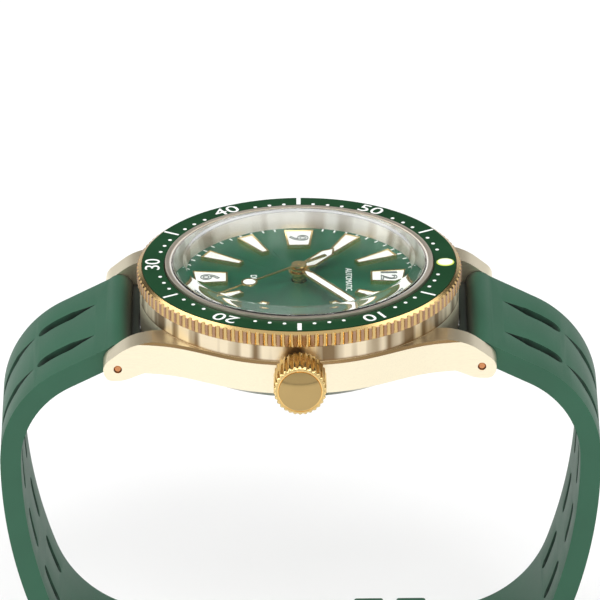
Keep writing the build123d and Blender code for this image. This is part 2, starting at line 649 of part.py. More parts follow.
with BuildPart() as second_wheel:
    wheel(SECOND_TEETH, TRAIN_M, 5.5, 0.15, SECOND, second_phase, 5)
    wheel(SECOND_PINION, BARREL_M, 3.82, 0.5, SECOND, second_pinion_phase, 0)
    disc(0.3, 3.8, 6.4, SECOND)
    disc(PIVOT_R, 3.15, 7.1, SECOND)
pieces["second_wheel"] = second_wheel

with BuildPart() as third_wheel:
    wheel(THIRD_TEETH, TRAIN_M, 6.15, 0.15, THIRD, third_phase, 5)
    wheel(THIRD_PINION, TRAIN_M, 5.44, 0.28, THIRD, third_pinion_phase, 0)
    disc(0.25, 3.8, 6.4, THIRD)
    disc(PIVOT_R, 3.15, 7.1, THIRD)
pieces["third_wheel"] = third_wheel

with BuildPart() as fourth_wheel:
    wheel(FOURTH_TEETH, ESCAPE_M, 5.82, 0.15, CENTRE, fourth_phase, 5)
    wheel(FOURTH_PINION, TRAIN_M, 6.08, 0.3, CENTRE, fourth_pinion_phase, 0)
    disc(0.25, 3.8, 6.4)
    disc(PIVOT_R, 3.15, SECONDS_Z + 0.2 + MOVEMENT_DROP)
pieces["fourth_wheel"] = fourth_wheel

ESCAPE_TEETH = 15
ESCAPE_TIP = 2.2
with BuildPart() as escape_wheel:
    with BuildSketch(Plane(origin=(*ESCAPE, 5.2))):
        with BuildLine():
            hook = []
            for i in range(ESCAPE_TEETH):
                a = 360 / ESCAPE_TEETH * i
                tooth = ((1.6, 0), (ESCAPE_TIP - 0.1, 5), (ESCAPE_TIP, 8.5), (1.75, 8), (1.6, 12))
                hook += [polar(radius, a + turn) for radius, turn in tooth]
            Polyline(*hook, close=True)
        make_face()
        with PolarLocations(0.95, 4):
            Circle(0.36, mode=Mode.SUBTRACT)
    extrude(amount=0.2)
    wheel(ESCAPE_PINION, ESCAPE_M, 5.72, 0.35, ESCAPE, escape_pinion_phase, 0)
    disc(0.2, 3.8, 6.4, ESCAPE)
    disc(PIVOT_R, 3.15, 7.1, ESCAPE)
pieces["escape_wheel"] = escape_wheel

with BuildPart() as pallet_fork:
    with BuildSketch(Plane.XY.offset(5.2)):
        with BuildLine():
            # the lever with the fork's horns
            half = [(-0.1, 0.25), (2.2, 0.12), (2.7, 0.3), (2.7, 0.14), (2.5, 0.1)]
            outline = half + [(x, -y) for x, y in reversed(half)]
            Polyline(*[lever_point(*p) for p in outline], close=True)
        make_face()
        with BuildLine():
            # the two arms with their pallets
            half = [(0.1, 0.8), (-0.45, 1.45), (-0.6, 1.3), (-0.15, 0.6)]
            outline = [(0.25, 0)] + half + [(x, -y) for x, y in reversed(half)]
            Polyline(*[lever_point(*p) for p in outline], close=True)
        make_face()
        with Locations(PALLET):
            Circle(0.32)
    extrude(amount=0.2)
    disc(PIVOT_R, 4.85, 7.1, PALLET)
pieces["pallet_fork"] = pallet_fork

BALANCE_R = 3.6
with BuildPart() as balance_wheel:
    with BuildSketch(Plane(origin=(*BALANCE, 4.25))):
        Circle(BALANCE_R)
        Circle(BALANCE_R - 0.45, mode=Mode.SUBTRACT)
        Rectangle(2 * BALANCE_R - 0.3, 0.4)
        Rectangle(0.4, 2 * BALANCE_R - 0.3)
        Circle(0.5)
    extrude(amount=0.35)
    disc(0.5, 4.9, 5.05, BALANCE)
    disc(0.3, 3.85, 6.2, BALANCE)
    disc(PIVOT_R, 3.15, 7.1, BALANCE)
pieces["balance_wheel"] = balance_wheel

with BuildPart() as hairspring:
    for turn in range(6):
        disc(1.9 - 0.22 * turn, 3.9, 4.05, BALANCE)
        disc(1.84 - 0.22 * turn, 3.9, 4.05, BALANCE, Mode.SUBTRACT)
    with BuildSketch(Plane.XY.offset(3.9)):
        with Locations((BALANCE[0] + 1.12, BALANCE[1])):
            Rectangle(1.62, 0.08)
    extrude(amount=0.15)
pieces["hairspring"] = hairspring

# ---------------------------------------------------------------- movement: motion works

cannon_phase = 0.0
minute_phase = mesh_phase(CENTRE, CANNON_TEETH, cannon_phase, MINUTE, MINUTE_TEETH)
minute_pinion_phase = 0.0
hour_phase = mesh_phase(MINUTE, MINUTE_PINION, minute_pinion_phase, CENTRE, HOUR_TEETH)

with BuildPart() as cannon_pinion:
    wheel(CANNON_TEETH, MOTION_M, 7.26, 0.3, CENTRE, cannon_phase, 0)
    disc(0.55, 7.26, MINUTE_Z + HAND_THICK + 0.02 + MOVEMENT_DROP)
    disc(0.35, 7, 10, mode=Mode.SUBTRACT)
pieces["cannon_pinion"] = cannon_pinion

with BuildPart() as minute_wheel:
    wheel(MINUTE_TEETH, MOTION_M, 7.28, 0.2, MINUTE, minute_phase, 0)
    wheel(MINUTE_PINION, MINUTE_PINION_M, 7.48, 0.44, MINUTE, minute_pinion_phase, 0)
    disc(0.29, 7, 8, MINUTE, Mode.SUBTRACT)
pieces["minute_wheel"] = minute_wheel

with BuildPart() as hour_wheel:
    wheel(HOUR_TEETH, MINUTE_PINION_M, 7.64, 0.22, CENTRE, hour_phase, 0)
    disc(0.8, 7.64, HOUR_Z + HAND_THICK + MOVEMENT_DROP)
    disc(0.6, 7, 10, mode=Mode.SUBTRACT)
pieces["hour_wheel"] = hour_wheel

# ---------------------------------------------------------------- spring bars

TIP_R = 0.45
TIP_FROM, TIP_TO = 6.0, 13.1
with BuildPart() as spring_bar_tubes:
    for side in (-1, 1):
        rod(0.8, (side * BAR_X, -9.2, BAR_Z), (side * BAR_X, 9.2, BAR_Z))
        rod(TIP_R + 0.05, (side * BAR_X, -10, BAR_Z), (side * BAR_X, 10, BAR_Z), Mode.SUBTRACT)
pieces["spring_bar_tubes"] = spring_bar_tubes

# the coil springs between the tips, as the tubes that their closed coils fill
with BuildPart() as spring_bar_springs:
    for side in (-1, 1):
        rod(0.42, (side * BAR_X, -2.4, BAR_Z), (side * BAR_X, 2.4, BAR_Z))
        rod(0.25, (side * BAR_X, -3, BAR_Z), (side * BAR_X, 3, BAR_Z), Mode.SUBTRACT)
pieces["spring_bar_springs"] = spring_bar_springs

for label, side in (("12", 1), ("6", -1)):
    for place, way in (("crown_side", -1), ("far_side", 1)):
        with BuildPart() as bar_tip:
            rod(TIP_R, (side * BAR_X, way * TIP_FROM, BAR_Z), (side * BAR_X, way * TIP_TO, BAR_Z))
            chamfer(edges().filter_by(GeomType.CIRCLE).sort_by(Axis.Y)[-1 if way > 0 else 0], 0.12)
        pieces[f"spring_bar_tip_{label}_{place}"] = bar_tip

# ---------------------------------------------------------------- strap


class Path:
    """Draws a run of tangent lines and arcs in the plane of the strap's curve (X across, Z up)."""

    def __init__(self, start, heading, shift):
        """shift moves the whole run to its left, so that faces of a strap keep one thickness."""
        self.heading = heading
        self.shift = shift
        self.spot = (start[0] - shift * sin(radians(heading)), start[1] + shift * cos(radians(heading)))
        self.edges = []

    def line(self, length):
        step = polar(length, self.heading)
        end = (self.spot[0] + step[0], self.spot[1] + step[1])
        self.edges.append((self.spot, None, end))
        self.spot = end

    def arc(self, radius, turn):
        """Bends by turn degrees, positive to the left, at a radius measured on the unshifted run."""
        side = 1 if turn > 0 else -1
        r = radius - side * self.shift
        start_way = self.heading - 90 * side
        centre = (self.spot[0] - polar(r, start_way)[0], self.spot[1] - polar(r, start_way)[1])
        places = []
        for share in (0.5, 1.0):
            step = polar(r, start_way + share * turn)
            places.append((centre[0] + step[0], centre[1] + step[1]))
        self.edges.append((self.spot, places[0], places[1]))
        self.spot = places[1]
        self.heading += turn


def strap_run(path):
    """The stretch from the spring bar down the 12 o'clock side of the wrist to the flat bottom."""
    path.line(RUN)
    for radius, turn in BENDS:
        path.arc(radius, -turn)


measure = Path((BAR_X, BAR_Z), -SLOPE, 0)
strap_run(measure)
FLAT_X, FLAT_Z = measure.spot  # the bottom is flat from here to the middle of the wrist
print("flat bottom from x", round(FLAT_X, 2), "at z", round(FLAT_Z, 2))
TAIL_DROP = STRAP_OUT + STRAP_IN + 0.15
S_RUN = 8.2
S_TURN = 2 * degrees(atan2(TAIL_DROP, S_RUN))
S_RADIUS = S_RUN / (2 * sin(radians(S_TURN)))
S_START = -6.0
TAIL_TURN = 58.0


def short_run(path):
    strap_run(path)
    path.line(FLAT_X - BUCKLE_BAR_X)


def long_run(path):
    """The long half: past the buckle's end bar, then outside the short half through both keepers."""
    strap_run(path)
    path.line(FLAT_X + S_START)
    path.arc(S_RADIUS, S_TURN)
    path.arc(S_RADIUS, -S_TURN)
    path.line(FLAT_X - (S_START + S_RUN))
    path.arc(BENDS[-1][0] + TAIL_DROP, -TAIL_TURN)


def ribbon(run, out, inside):
    """Draws the side view of a strap as the closed band between its two faces."""
    outer = Path((BAR_X, BAR_Z), -SLOPE, out)
    inner = Path((BAR_X, BAR_Z), -SLOPE, -inside)
    for path in (outer, inner):
        run(path)
        for start, middle, end in path.edges:
            if middle is None:
                Line(start, end)
            else:
                ThreePointArc(start, middle, end)
    Line(outer.edges[0][0], inner.edges[0][0])
    Line(outer.spot, inner.spot)


def place_on(distance):
    """Point and heading of the strap's run at a distance from the spring bar."""
    path = Path((BAR_X, BAR_Z), -SLOPE, 0)
    path.line(min(distance, RUN))
    left = distance - RUN
    for radius, turn in BENDS:
        if left > 0:
            share = min(left / (radius * radians(turn)), 1.0)
            path.arc(radius, -turn * share)
            left -= radius * radians(turn)
    return path.spot, path.heading


FITTED_Z0, FITTED_Z1 = 1.3, 3.2  # the block at each strap end that fills the space against the case
FITTED_GAP = 0.35
SLOT_LENGTH, SLOT_WIDE = 5.4, 1.9
SLOT_STEP = 8.2
SLOT_ROW = 4.3
SLOTS = [5.4 + SLOT_STEP * i for i in range(5)]


def cut_at(distance, length, width, rows):
    """Cuts rounded slots through the strap at a distance from the spring bar."""
    spot, heading = place_on(distance)
    along = polar(1, heading)
    spot_3d = (spot[0], 0, spot[1])
    face = Plane(spot_3d, x_dir=(along[0], 0, along[1]), z_dir=(-along[1], 0, along[0]))
    with BuildSketch(face) as slots:
        with Locations(*[(0, y) for y in rows]):
            SlotOverall(length, width)
    extrude(slots.sketch, amount=3, both=True, mode=Mode.SUBTRACT)


def strap_body(run):
    with BuildSketch(Plane.XZ) as side_view:
        with BuildLine():
            ribbon(run, STRAP_OUT, STRAP_IN)
        make_face()
        with Locations((BAR_X, BAR_Z)):
            Circle(EYE_R)
    extrude(side_view.sketch, amount=12, both=True)
    # the sides draw in evenly on the way down
    with BuildSketch(Plane.YZ) as width:
        with BuildLine():
            half = [(STRAP_HALF, 6), (STRAP_HALF, 0), (STRAP_HALF_LOW, FLAT_Z)]
            half.append((STRAP_HALF_LOW, FLAT_Z - 8))
            Polyline(*half, *[(-y, z) for y, z in reversed(half)], close=True)
        make_face()
    extrude(width.sketch, amount=60, both=True, mode=Mode.INTERSECT)
    with BuildSketch(Plane.XY.offset(FITTED_Z0)) as fitted:
        with Locations((BAR_X, 0)):
            Rectangle(2 * (BAR_X - 15), 2 * STRAP_HALF, align=(Align.MAX, Align.CENTER))
        Circle(NECK_R + FITTED_GAP, mode=Mode.SUBTRACT)
        with Locations((-20, 0)):
            Rectangle(40, 40, mode=Mode.SUBTRACT)
    extrude(fitted.sketch, amount=FITTED_Z1 - FITTED_Z0)
    rod(0.85, (BAR_X, -12, BAR_Z), (BAR_X, 12, BAR_Z), Mode.SUBTRACT)
    for distance in SLOTS:
        cut_at(distance, SLOT_LENGTH, SLOT_WIDE, (-SLOT_ROW, SLOT_ROW))


BAR_LEVEL = FLAT_Z - (STRAP_OUT - STRAP_IN) / 2
BUCKLE_BAR_R = 0.7


def across_bar(radius, half, mode=Mode.ADD):
    """Adds or cuts a rod on the buckle bar's axis."""
    rod(radius, (BUCKLE_BAR_X, -half, BAR_LEVEL), (BUCKLE_BAR_X, half, BAR_LEVEL), mode)


with BuildPart() as strap_short:
    strap_body(short_run)
    across_bar((STRAP_OUT + STRAP_IN) / 2, STRAP_HALF_LOW)
    across_bar(BUCKLE_BAR_R + 0.02, 12, Mode.SUBTRACT)
    # the notch for the tongue
    with BuildSketch(Plane.XY.offset(FLAT_Z - 4)):
        with Locations((BUCKLE_BAR_X - 0.5, 0)):
            Rectangle(5.4, 3.0)
    extrude(amount=8, mode=Mode.SUBTRACT)
pieces["strap_short"] = strap_short

END_BAR_R = 1.1
END_BAR = (-7.4, FLAT_Z - 3.15)
TONGUE_R = 0.55
TONGUE_LEVEL = END_BAR[1] - END_BAR_R - TONGUE_R - 0.03
TONGUE_BEND, TONGUE_TIP = -4.3, -8.5

# the long half is drawn on the short half's side and mirrored to the 6 o'clock side
with BuildPart() as strap_long_mirrored:
    strap_body(long_run)
    for hole in (13.2, -10.8, -5.0):
        with BuildSketch(Plane.XY.offset(FLAT_Z - 8)):
            with Locations((hole, 0)):
                SlotOverall(3.0, 2.0)
        extrude(amount=12, mode=Mode.SUBTRACT)
    # the free end is rounded off
    tail = Path((BAR_X, BAR_Z), -SLOPE, 0)
    long_run(tail)
    along = polar(1, tail.heading)
    tail_end = (tail.spot[0], 0, tail.spot[1])
    tail_face = Plane(tail_end, x_dir=(along[0], 0, along[1]), z_dir=(-along[1], 0, along[0]))
    with BuildSketch(tail_face):
        Rectangle(8, 24)
        with Locations((-10, 0)):
            RectangleRounded(20, 18.5, 5, mode=Mode.SUBTRACT)
    extrude(amount=4, both=True, mode=Mode.SUBTRACT)
    # the size hole that the tongue passes through
    rod(0.95, (-BUCKLE_BAR_X, 0, BAR_LEVEL), (-TONGUE_BEND, 0, TONGUE_LEVEL), Mode.SUBTRACT)
with BuildPart() as strap_long:
    add(mirror(strap_long_mirrored.part, about=Plane.YZ))
pieces["strap_long"] = strap_long

with BuildPart() as buckle_frame:
    with BuildSketch(Plane.XZ):
        with Locations((BUCKLE_BAR_X, BAR_LEVEL)):
            Circle(1.35)
        with Locations(END_BAR):
            Circle(END_BAR_R)
        make_hull()
    extrude(amount=10.8, both=True)
    with BuildSketch(Plane.XZ):
        with Locations((-2, FLAT_Z)):
            Rectangle(30, 20)
    extrude(amount=9.25, both=True, mode=Mode.SUBTRACT)
    rod(END_BAR_R, (END_BAR[0], -9.5, END_BAR[1]), (END_BAR[0], 9.5, END_BAR[1]))
    across_bar(BUCKLE_BAR_R, 12, Mode.SUBTRACT)
pieces["buckle_frame"] = buckle_frame

with BuildPart() as buckle_bar:
    across_bar(BUCKLE_BAR_R, 10.7)
pieces["buckle_bar"] = buckle_bar

with BuildPart() as buckle_tongue:
    across_bar(1.3, 1.2)
    rod(TONGUE_R, (BUCKLE_BAR_X, 0, BAR_LEVEL), (TONGUE_BEND, 0, TONGUE_LEVEL))
    with Locations((TONGUE_BEND, 0, TONGUE_LEVEL)):
        Sphere(TONGUE_R)
    rod(TONGUE_R, (TONGUE_BEND, 0, TONGUE_LEVEL), (TONGUE_TIP, 0, TONGUE_LEVEL))
    across_bar(BUCKLE_BAR_R + 0.04, 2, Mode.SUBTRACT)
pieces["buckle_tongue"] = buckle_tongue

KEEPER_IN = (9.2, FLAT_Z + STRAP_IN + 0.15, FLAT_Z - TAIL_DROP - STRAP_OUT - 0.15)
for label, start in (("keeper_fixed", 6.4), ("keeper_free", 11.6)):
    middle = (KEEPER_IN[1] + KEEPER_IN[2]) / 2
    tall = KEEPER_IN[1] - KEEPER_IN[2]
    with BuildPart() as keeper:
        with BuildSketch(Plane.YZ.offset(start)):
            with Locations((0, middle)):
                RectangleRounded(2 * (KEEPER_IN[0] + KEEPER_WALL), tall + 2 * KEEPER_WALL, 1.3)
                RectangleRounded(2 * KEEPER_IN[0], tall, 0.4, mode=Mode.SUBTRACT)
        extrude(amount=KEEPER_LONG)
    pieces[label] = keeper

# ---------------------------------------------------------------- export

MOVEMENT = """
    main_plate train_bridge balance_cock pallet_bridge movement_screws jewels center_tube rotor_bearing
    rotor barrel mainspring second_wheel third_wheel fourth_wheel escape_wheel pallet_fork balance_wheel
    hairspring cannon_pinion minute_wheel hour_wheel
""".split()

os.makedirs("parts", exist_ok=True)
for name, piece in pieces.items():
    shape = piece.part
    if name in MOVEMENT:
        shape = shape.moved(Location((0, 0, -MOVEMENT_DROP)))
    shape.label = name
    export_step(shape, f"parts/{name}.step")
print(len(pieces), "nodes")
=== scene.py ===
import json
from math import asin, atan2, cos, degrees, pi, radians, sin, sqrt

import bmesh
import bpy
from mathutils import Matrix, Vector


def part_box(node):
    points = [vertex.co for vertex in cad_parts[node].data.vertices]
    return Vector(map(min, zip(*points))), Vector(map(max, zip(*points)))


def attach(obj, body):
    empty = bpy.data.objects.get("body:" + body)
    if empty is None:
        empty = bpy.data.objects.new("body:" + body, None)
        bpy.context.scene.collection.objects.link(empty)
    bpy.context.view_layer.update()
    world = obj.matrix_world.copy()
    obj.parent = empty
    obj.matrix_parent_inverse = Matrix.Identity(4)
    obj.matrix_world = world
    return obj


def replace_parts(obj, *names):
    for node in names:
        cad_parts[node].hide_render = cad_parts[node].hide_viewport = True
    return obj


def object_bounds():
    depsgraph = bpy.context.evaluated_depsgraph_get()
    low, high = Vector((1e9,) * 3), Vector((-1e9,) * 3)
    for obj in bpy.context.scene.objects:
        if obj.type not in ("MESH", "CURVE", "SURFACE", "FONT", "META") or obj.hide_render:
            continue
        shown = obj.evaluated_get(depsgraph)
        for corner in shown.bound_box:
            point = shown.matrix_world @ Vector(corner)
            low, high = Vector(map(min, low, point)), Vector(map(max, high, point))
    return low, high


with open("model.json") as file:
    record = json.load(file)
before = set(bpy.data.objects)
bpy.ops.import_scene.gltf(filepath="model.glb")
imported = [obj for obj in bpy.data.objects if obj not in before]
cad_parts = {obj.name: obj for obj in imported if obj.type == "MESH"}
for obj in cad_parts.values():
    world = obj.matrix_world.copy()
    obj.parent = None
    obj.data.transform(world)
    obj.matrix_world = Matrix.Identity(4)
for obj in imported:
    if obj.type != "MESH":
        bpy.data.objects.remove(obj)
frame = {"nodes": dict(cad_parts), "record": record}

CAD_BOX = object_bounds()
MM = 0.001
NODES = frame["nodes"]

# ---------------------------------------------------------------- sizes read from the frame, in mm


def box_mm(name):
    """The low and high corners of a CAD node's box, in millimetres."""
    low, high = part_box(name)
    return [v / MM for v in low], [v / MM for v in high]


INSERT_TOP = box_mm("bezel_insert")[1][2]
CRYSTAL_LOW, CRYSTAL_HIGH = box_mm("crystal")
CRYSTAL_R, CRYSTAL_Z, CRYSTAL_TOP = CRYSTAL_HIGH[0], CRYSTAL_LOW[2], CRYSTAL_HIGH[2]
DIAL_TOP = box_mm("dial")[1][2]
LUME_TOP = box_mm("marker_lume")[1][2]
TUBES_LOW, TUBES_HIGH = box_mm("spring_bar_tubes")
BAR_R = (TUBES_HIGH[2] - TUBES_LOW[2]) / 2
BAR_X, BAR_Z = TUBES_HIGH[0] - BAR_R, TUBES_LOW[2] + BAR_R
BEZEL_R = box_mm("bezel_ring")[1][0]
CROWN_LOW, CROWN_HIGH = box_mm("crown")
CROWN_R, CROWN_Z = (CROWN_HIGH[2] - CROWN_LOW[2]) / 2, (CROWN_HIGH[2] + CROWN_LOW[2]) / 2
FLOOR_Z = CAD_BOX[0].z - 0.02 * MM  # a hair under the strap, so that no two faces share a plane

# ---------------------------------------------------------------- materials


def add(tree, kind, out=0, **inputs):
    """Adds a shader node, sets or links its inputs, and returns one of its outputs.

    An input is named by its label, or by i and its number. A leading underscore sets the node's own property.
    """
    made = tree.nodes.new("ShaderNode" + kind)
    for name, value in inputs.items():
        if name.startswith("_"):
            setattr(made, name[1:], value)
            continue
        numbered = name[0] == "i" and name[1:].isdigit()
        socket = made.inputs[int(name[1:]) if numbered else name.replace("_", " ")]
        if isinstance(value, bpy.types.NodeSocket):
            tree.links.new(value, socket)
        else:
            socket.default_value = value
    return made.outputs[out]


def new_material(name):
    """An empty Principled material, its tree and its shader."""
    material = bpy.data.materials.new(name)
    material.use_nodes = True
    tree = material.node_tree
    return material, tree, tree.nodes["Principled BSDF"]


def mm_coords(tree, scale=(1, 1, 1)):
    """Object coordinates in millimetres, stretched by a scale."""
    place = add(tree, "TexCoord", 3)
    return add(tree, "VectorMath", _operation="MULTIPLY", i0=place, i1=tuple(s / MM for s in scale))


def split(tree, vector):
    """The x, y and z sockets of a vector."""
    parts = tree.nodes.new("ShaderNodeSeparateXYZ")
    tree.links.new(vector, parts.inputs[0])
    return parts.outputs


def times(tree, first, second):
    """The product of two numbers or sockets."""
    return add(tree, "Math", _operation="MULTIPLY", i0=first, i1=second)


def flat_length(tree, vector):
    """A vector's length across the hands' axis, its height left out."""
    flat = add(tree, "VectorMath", _operation="MULTIPLY", i0=vector, i1=(1, 1, 0))
    return add(tree, "VectorMath", 1, _operation="LENGTH", i0=flat)


def round_coords(tree, ring, along, height):
    """Coordinates round the hands' axis: radius, angle and height, each with its scale."""
    place = mm_coords(tree)
    parts = split(tree, place)
    radius = flat_length(tree, place)
    angle = add(tree, "Math", _operation="ARCTAN2", i0=parts[1], i1=parts[0])
    scaled = [times(tree, *pair) for pair in ((radius, ring), (angle, along), (parts[2], height))]
    return add(tree, "CombineXYZ", X=scaled[0], Y=scaled[1], Z=scaled[2])


def noise(tree, vector, scale=1.0, detail=3.0, rough=0.5):
    """A noise texture's value."""
    return add(tree, "TexNoise", Vector=vector, Scale=scale, Detail=detail, Roughness=rough)


def spread(tree, value, low, high, start=0.3, end=0.7):
    """Carries a texture's usual range onto another range of values."""
    return add(tree, "MapRange", Value=value, i1=start, i2=end, i3=low, i4=high)


def blend_colours(tree, share, first, second):
    """Mixes two colours, each a tuple of three numbers or a socket."""
    ends = [v if isinstance(v, bpy.types.NodeSocket) else (*v, 1) for v in (first, second)]
    return add(tree, "Mix", 2, _data_type="RGBA", Factor=share, i6=ends[0], i7=ends[1])


def bump(tree, shader, height, distance):
    """Raises a texture by a distance in millimetres."""
    made = add(tree, "Bump", Height=height, Distance=distance * MM, Strength=1.0)
    tree.links.new(made, shader.inputs["Normal"])


def metal(name, colour, rough, grain, depth=0.004, dark=0.82, rough_spread=0.1, coords=None):
    """Brushed or polished metal: fine lines in its colour, roughness and surface. Depth is in mm."""
    material, tree, shader = new_material(name)
    vector = coords(tree) if coords else mm_coords(tree, grain)
    lines = noise(tree, vector, 1.0, 4.0, 0.6)
    cloud = noise(tree, mm_coords(tree, (0.25, 0.25, 0.25)), 1.0, 2.0)
    shade = times(tree, lines, spread(tree, cloud, 0.9, 1.1))
    darker = tuple(c * dark for c in colour)
    tint = blend_colours(tree, spread(tree, shade, 0, 1), darker, colour)
    tree.links.new(tint, shader.inputs["Base Color"])
    rough_range = spread(tree, lines, rough - rough_spread / 2, rough + rough_spread / 2)
    tree.links.new(rough_range, shader.inputs["Roughness"])
    shader.inputs["Metallic"].default_value = 1.0
    bump(tree, shader, lines, depth)
    return material


def turned_metal(name, colour, rough):
    """Metal with its grain running round the hands' axis."""
    return metal(name, colour, rough, None, 0.003, coords=lambda tree: round_coords(tree, 14.0, 0.8, 14.0))


CHAMPAGNE = (0.93, 0.84, 0.63)
BRONZE = (0.40, 0.245, 0.15)
BROWN = (0.22, 0.12, 0.05)
PIP_X = 17.56  # where the luminous pip stands on the insert
FLANK_TOP, LIP_LOW, NECK_R = 6.4, 8.5, 19.15  # the mid-case: top of its flanks, its pale lip, its neck


def case_metal():
    """Champagne bronze: brushed flanks, a turned neck with painted reflection bands round it, painted shade
    on faces that look upward, a bevel painted brown as painted dark reflection, and a brown foot line.
    """
    material, tree, shader = new_material("case_champagne")
    height = split(tree, mm_coords(tree))[2]
    facing = split(tree, add(tree, "NewGeometry", 1))[2]
    straight = noise(tree, mm_coords(tree, (0.22, 11, 16)), 1.0, 5.0, 0.62)
    turned = noise(tree, round_coords(tree, 9, 1.2, 14), 1.0, 5.0, 0.65)
    # Painted reflection: light and dark bands round the neck, by angle about the hands' axis.
    reflection_bands = noise(tree, round_coords(tree, 0, 9, 0.02), 1.0, 1.0, 0.4)
    on_neck = add(tree, "Math", _operation="GREATER_THAN", i0=height, i1=FLANK_TOP + 0.02)
    lines = add(tree, "Mix", 0, _data_type="FLOAT", i0=on_neck, i2=straight, i3=turned)
    # Painted dark reflection: the polished 45° bevel at the top of the flanks is coloured brown, darker than
    # the champagne metal.
    tilt = add(tree, "Math", _operation="COMPARE", i0=facing, i1=sin(pi / 4), i2=0.03)
    low = add(tree, "Math", _operation="COMPARE", i0=height, i1=FLANK_TOP - 0.15, i2=0.18)
    bevel = times(tree, tilt, low)
    brushed = blend_colours(tree, spread(tree, lines, 0, 1), tuple(c * 0.9 for c in CHAMPAGNE), CHAMPAGNE)
    reflection_band_share = spread(tree, reflection_bands, 0, 1, 0.42, 0.58)
    painted_reflection = blend_colours(tree, reflection_band_share, (0.22, 0.15, 0.08), (0.80, 0.69, 0.50))
    foot = spread(tree, height, 1, 0, FLANK_TOP + 0.02, FLANK_TOP + 0.3)
    lip = spread(tree, height, 0, 1, LIP_LOW, LIP_LOW + 0.1)
    upper = blend_colours(tree, lip, painted_reflection, (0.95, 0.84, 0.70))
    neck = blend_colours(tree, foot, upper, BROWN)
    # Painted shade: faces that look upward are blended towards a darker tan.
    upward = spread(tree, facing, 0, 0.6, 0.85, 0.98)
    flank = blend_colours(tree, upward, brushed, (0.62, 0.51, 0.32))
    body = blend_colours(tree, on_neck, flank, neck)
    # Painted dark reflection on the bevel.
    colour = blend_colours(tree, bevel, body, (0.34, 0.22, 0.10))
    tree.links.new(colour, shader.inputs["Base Color"])
    brushed_rough = spread(tree, lines, 0.30, 0.44)
    rough = add(tree, "Mix", 0, _data_type="FLOAT", i0=bevel, i2=brushed_rough, i3=0.1)
    tree.links.new(rough, shader.inputs["Roughness"])
    shader.inputs["Metallic"].default_value = 1.0
    plain = add(tree, "Math", _operation="SUBTRACT", i0=1.0, i1=bevel)
    bump(tree, shader, times(tree, lines, plain), 0.005)
    return material


def bezel_metal():
    """Rosy bronze on the knurl's crests, the flutes a lighter gold as painted highlight, with fine turning
    lines.
    """
    material, tree, shader = new_material("bezel_bronze")
    lines = noise(tree, round_coords(tree, 12, 0.8, 14), 1.0, 4.0, 0.6)
    # Painted highlight: the flutes are coloured a lighter gold than the crests.
    crest = spread(tree, flat_length(tree, mm_coords(tree)), 0, 1, BEZEL_R - 0.2, BEZEL_R - 0.02)
    rosy = blend_colours(tree, spread(tree, lines, 0, 1), tuple(c * 0.85 for c in BRONZE), BRONZE)
    colour = blend_colours(tree, crest, (0.60, 0.42, 0.18), rosy)
    tree.links.new(colour, shader.inputs["Base Color"])
    tree.links.new(spread(tree, lines, 0.16, 0.28), shader.inputs["Roughness"])
    shader.inputs["Metallic"].default_value = 1.0
    bump(tree, shader, lines, 0.002)
    return material


def rehaut_metal():
    """The sloping ring round the dial: turned, with painted reflection in soft bands of light and grey round
    it.
    """
    material, tree, shader = new_material("rehaut_turned")
    lines = noise(tree, round_coords(tree, 9, 0.3, 9), 1.0, 4.0, 0.6)
    reflection_bands = noise(tree, round_coords(tree, 0, 6, 0.02), 1.0, 1.0, 0.4)
    light = blend_colours(tree, spread(tree, lines, 0, 1), (0.93, 0.89, 0.82), (1.0, 0.97, 0.92))
    # Painted reflection: grey bands round the ring, by angle.
    colour = blend_colours(tree, spread(tree, reflection_bands, 0, 1, 0.40, 0.56), (0.56, 0.50, 0.42), light)
    tree.links.new(colour, shader.inputs["Base Color"])
    tree.links.new(spread(tree, lines, 0.30, 0.38), shader.inputs["Roughness"])
    shader.inputs["Metallic"].default_value = 0.85
    bump(tree, shader, lines, 0.001)
    return material


def crown_metal():
    """Polished gold: bright on the knurl, with the domed face painted a deeper gold as painted dark
    reflection.
    """
    material, tree, shader = new_material("crown_gold")
    along = split(tree, mm_coords(tree))[1]
    cloud = noise(tree, mm_coords(tree, (3, 3, 3)), 1.0, 3.0)
    # Painted dark reflection: the domed face is coloured darker than the knurl.
    face = spread(tree, along, 1, 0, CROWN_LOW[1] + 0.56, CROWN_LOW[1] + 0.66)
    bright = blend_colours(tree, spread(tree, cloud, 0, 1), (0.88, 0.64, 0.27), (0.95, 0.70, 0.30))
    colour = blend_colours(tree, face, bright, (0.44, 0.31, 0.13))
    tree.links.new(colour, shader.inputs["Base Color"])
    tree.links.new(spread(tree, cloud, 0.07, 0.12), shader.inputs["Roughness"])
    shader.inputs["Metallic"].default_value = 1.0
    bump(tree, shader, cloud, 0.0015)
    return material


def insert_green():
    """Glossy dark green inlay with a slow drift of colour under its clear face."""
    material, tree, shader = new_material("insert_green")
    cloud = noise(tree, mm_coords(tree, (0.12, 0.12, 0.12)), 1.0, 2.0)
    colour = blend_colours(tree, spread(tree, cloud, 0, 1), (0.007, 0.040, 0.014), (0.011, 0.056, 0.021))
    tree.links.new(colour, shader.inputs["Base Color"])
    tree.links.new(spread(tree, cloud, 0.30, 0.36), shader.inputs["Roughness"])
    shader.inputs["Specular IOR Level"].default_value = 0.06
    bump(tree, shader, cloud, 0.001)
    return material


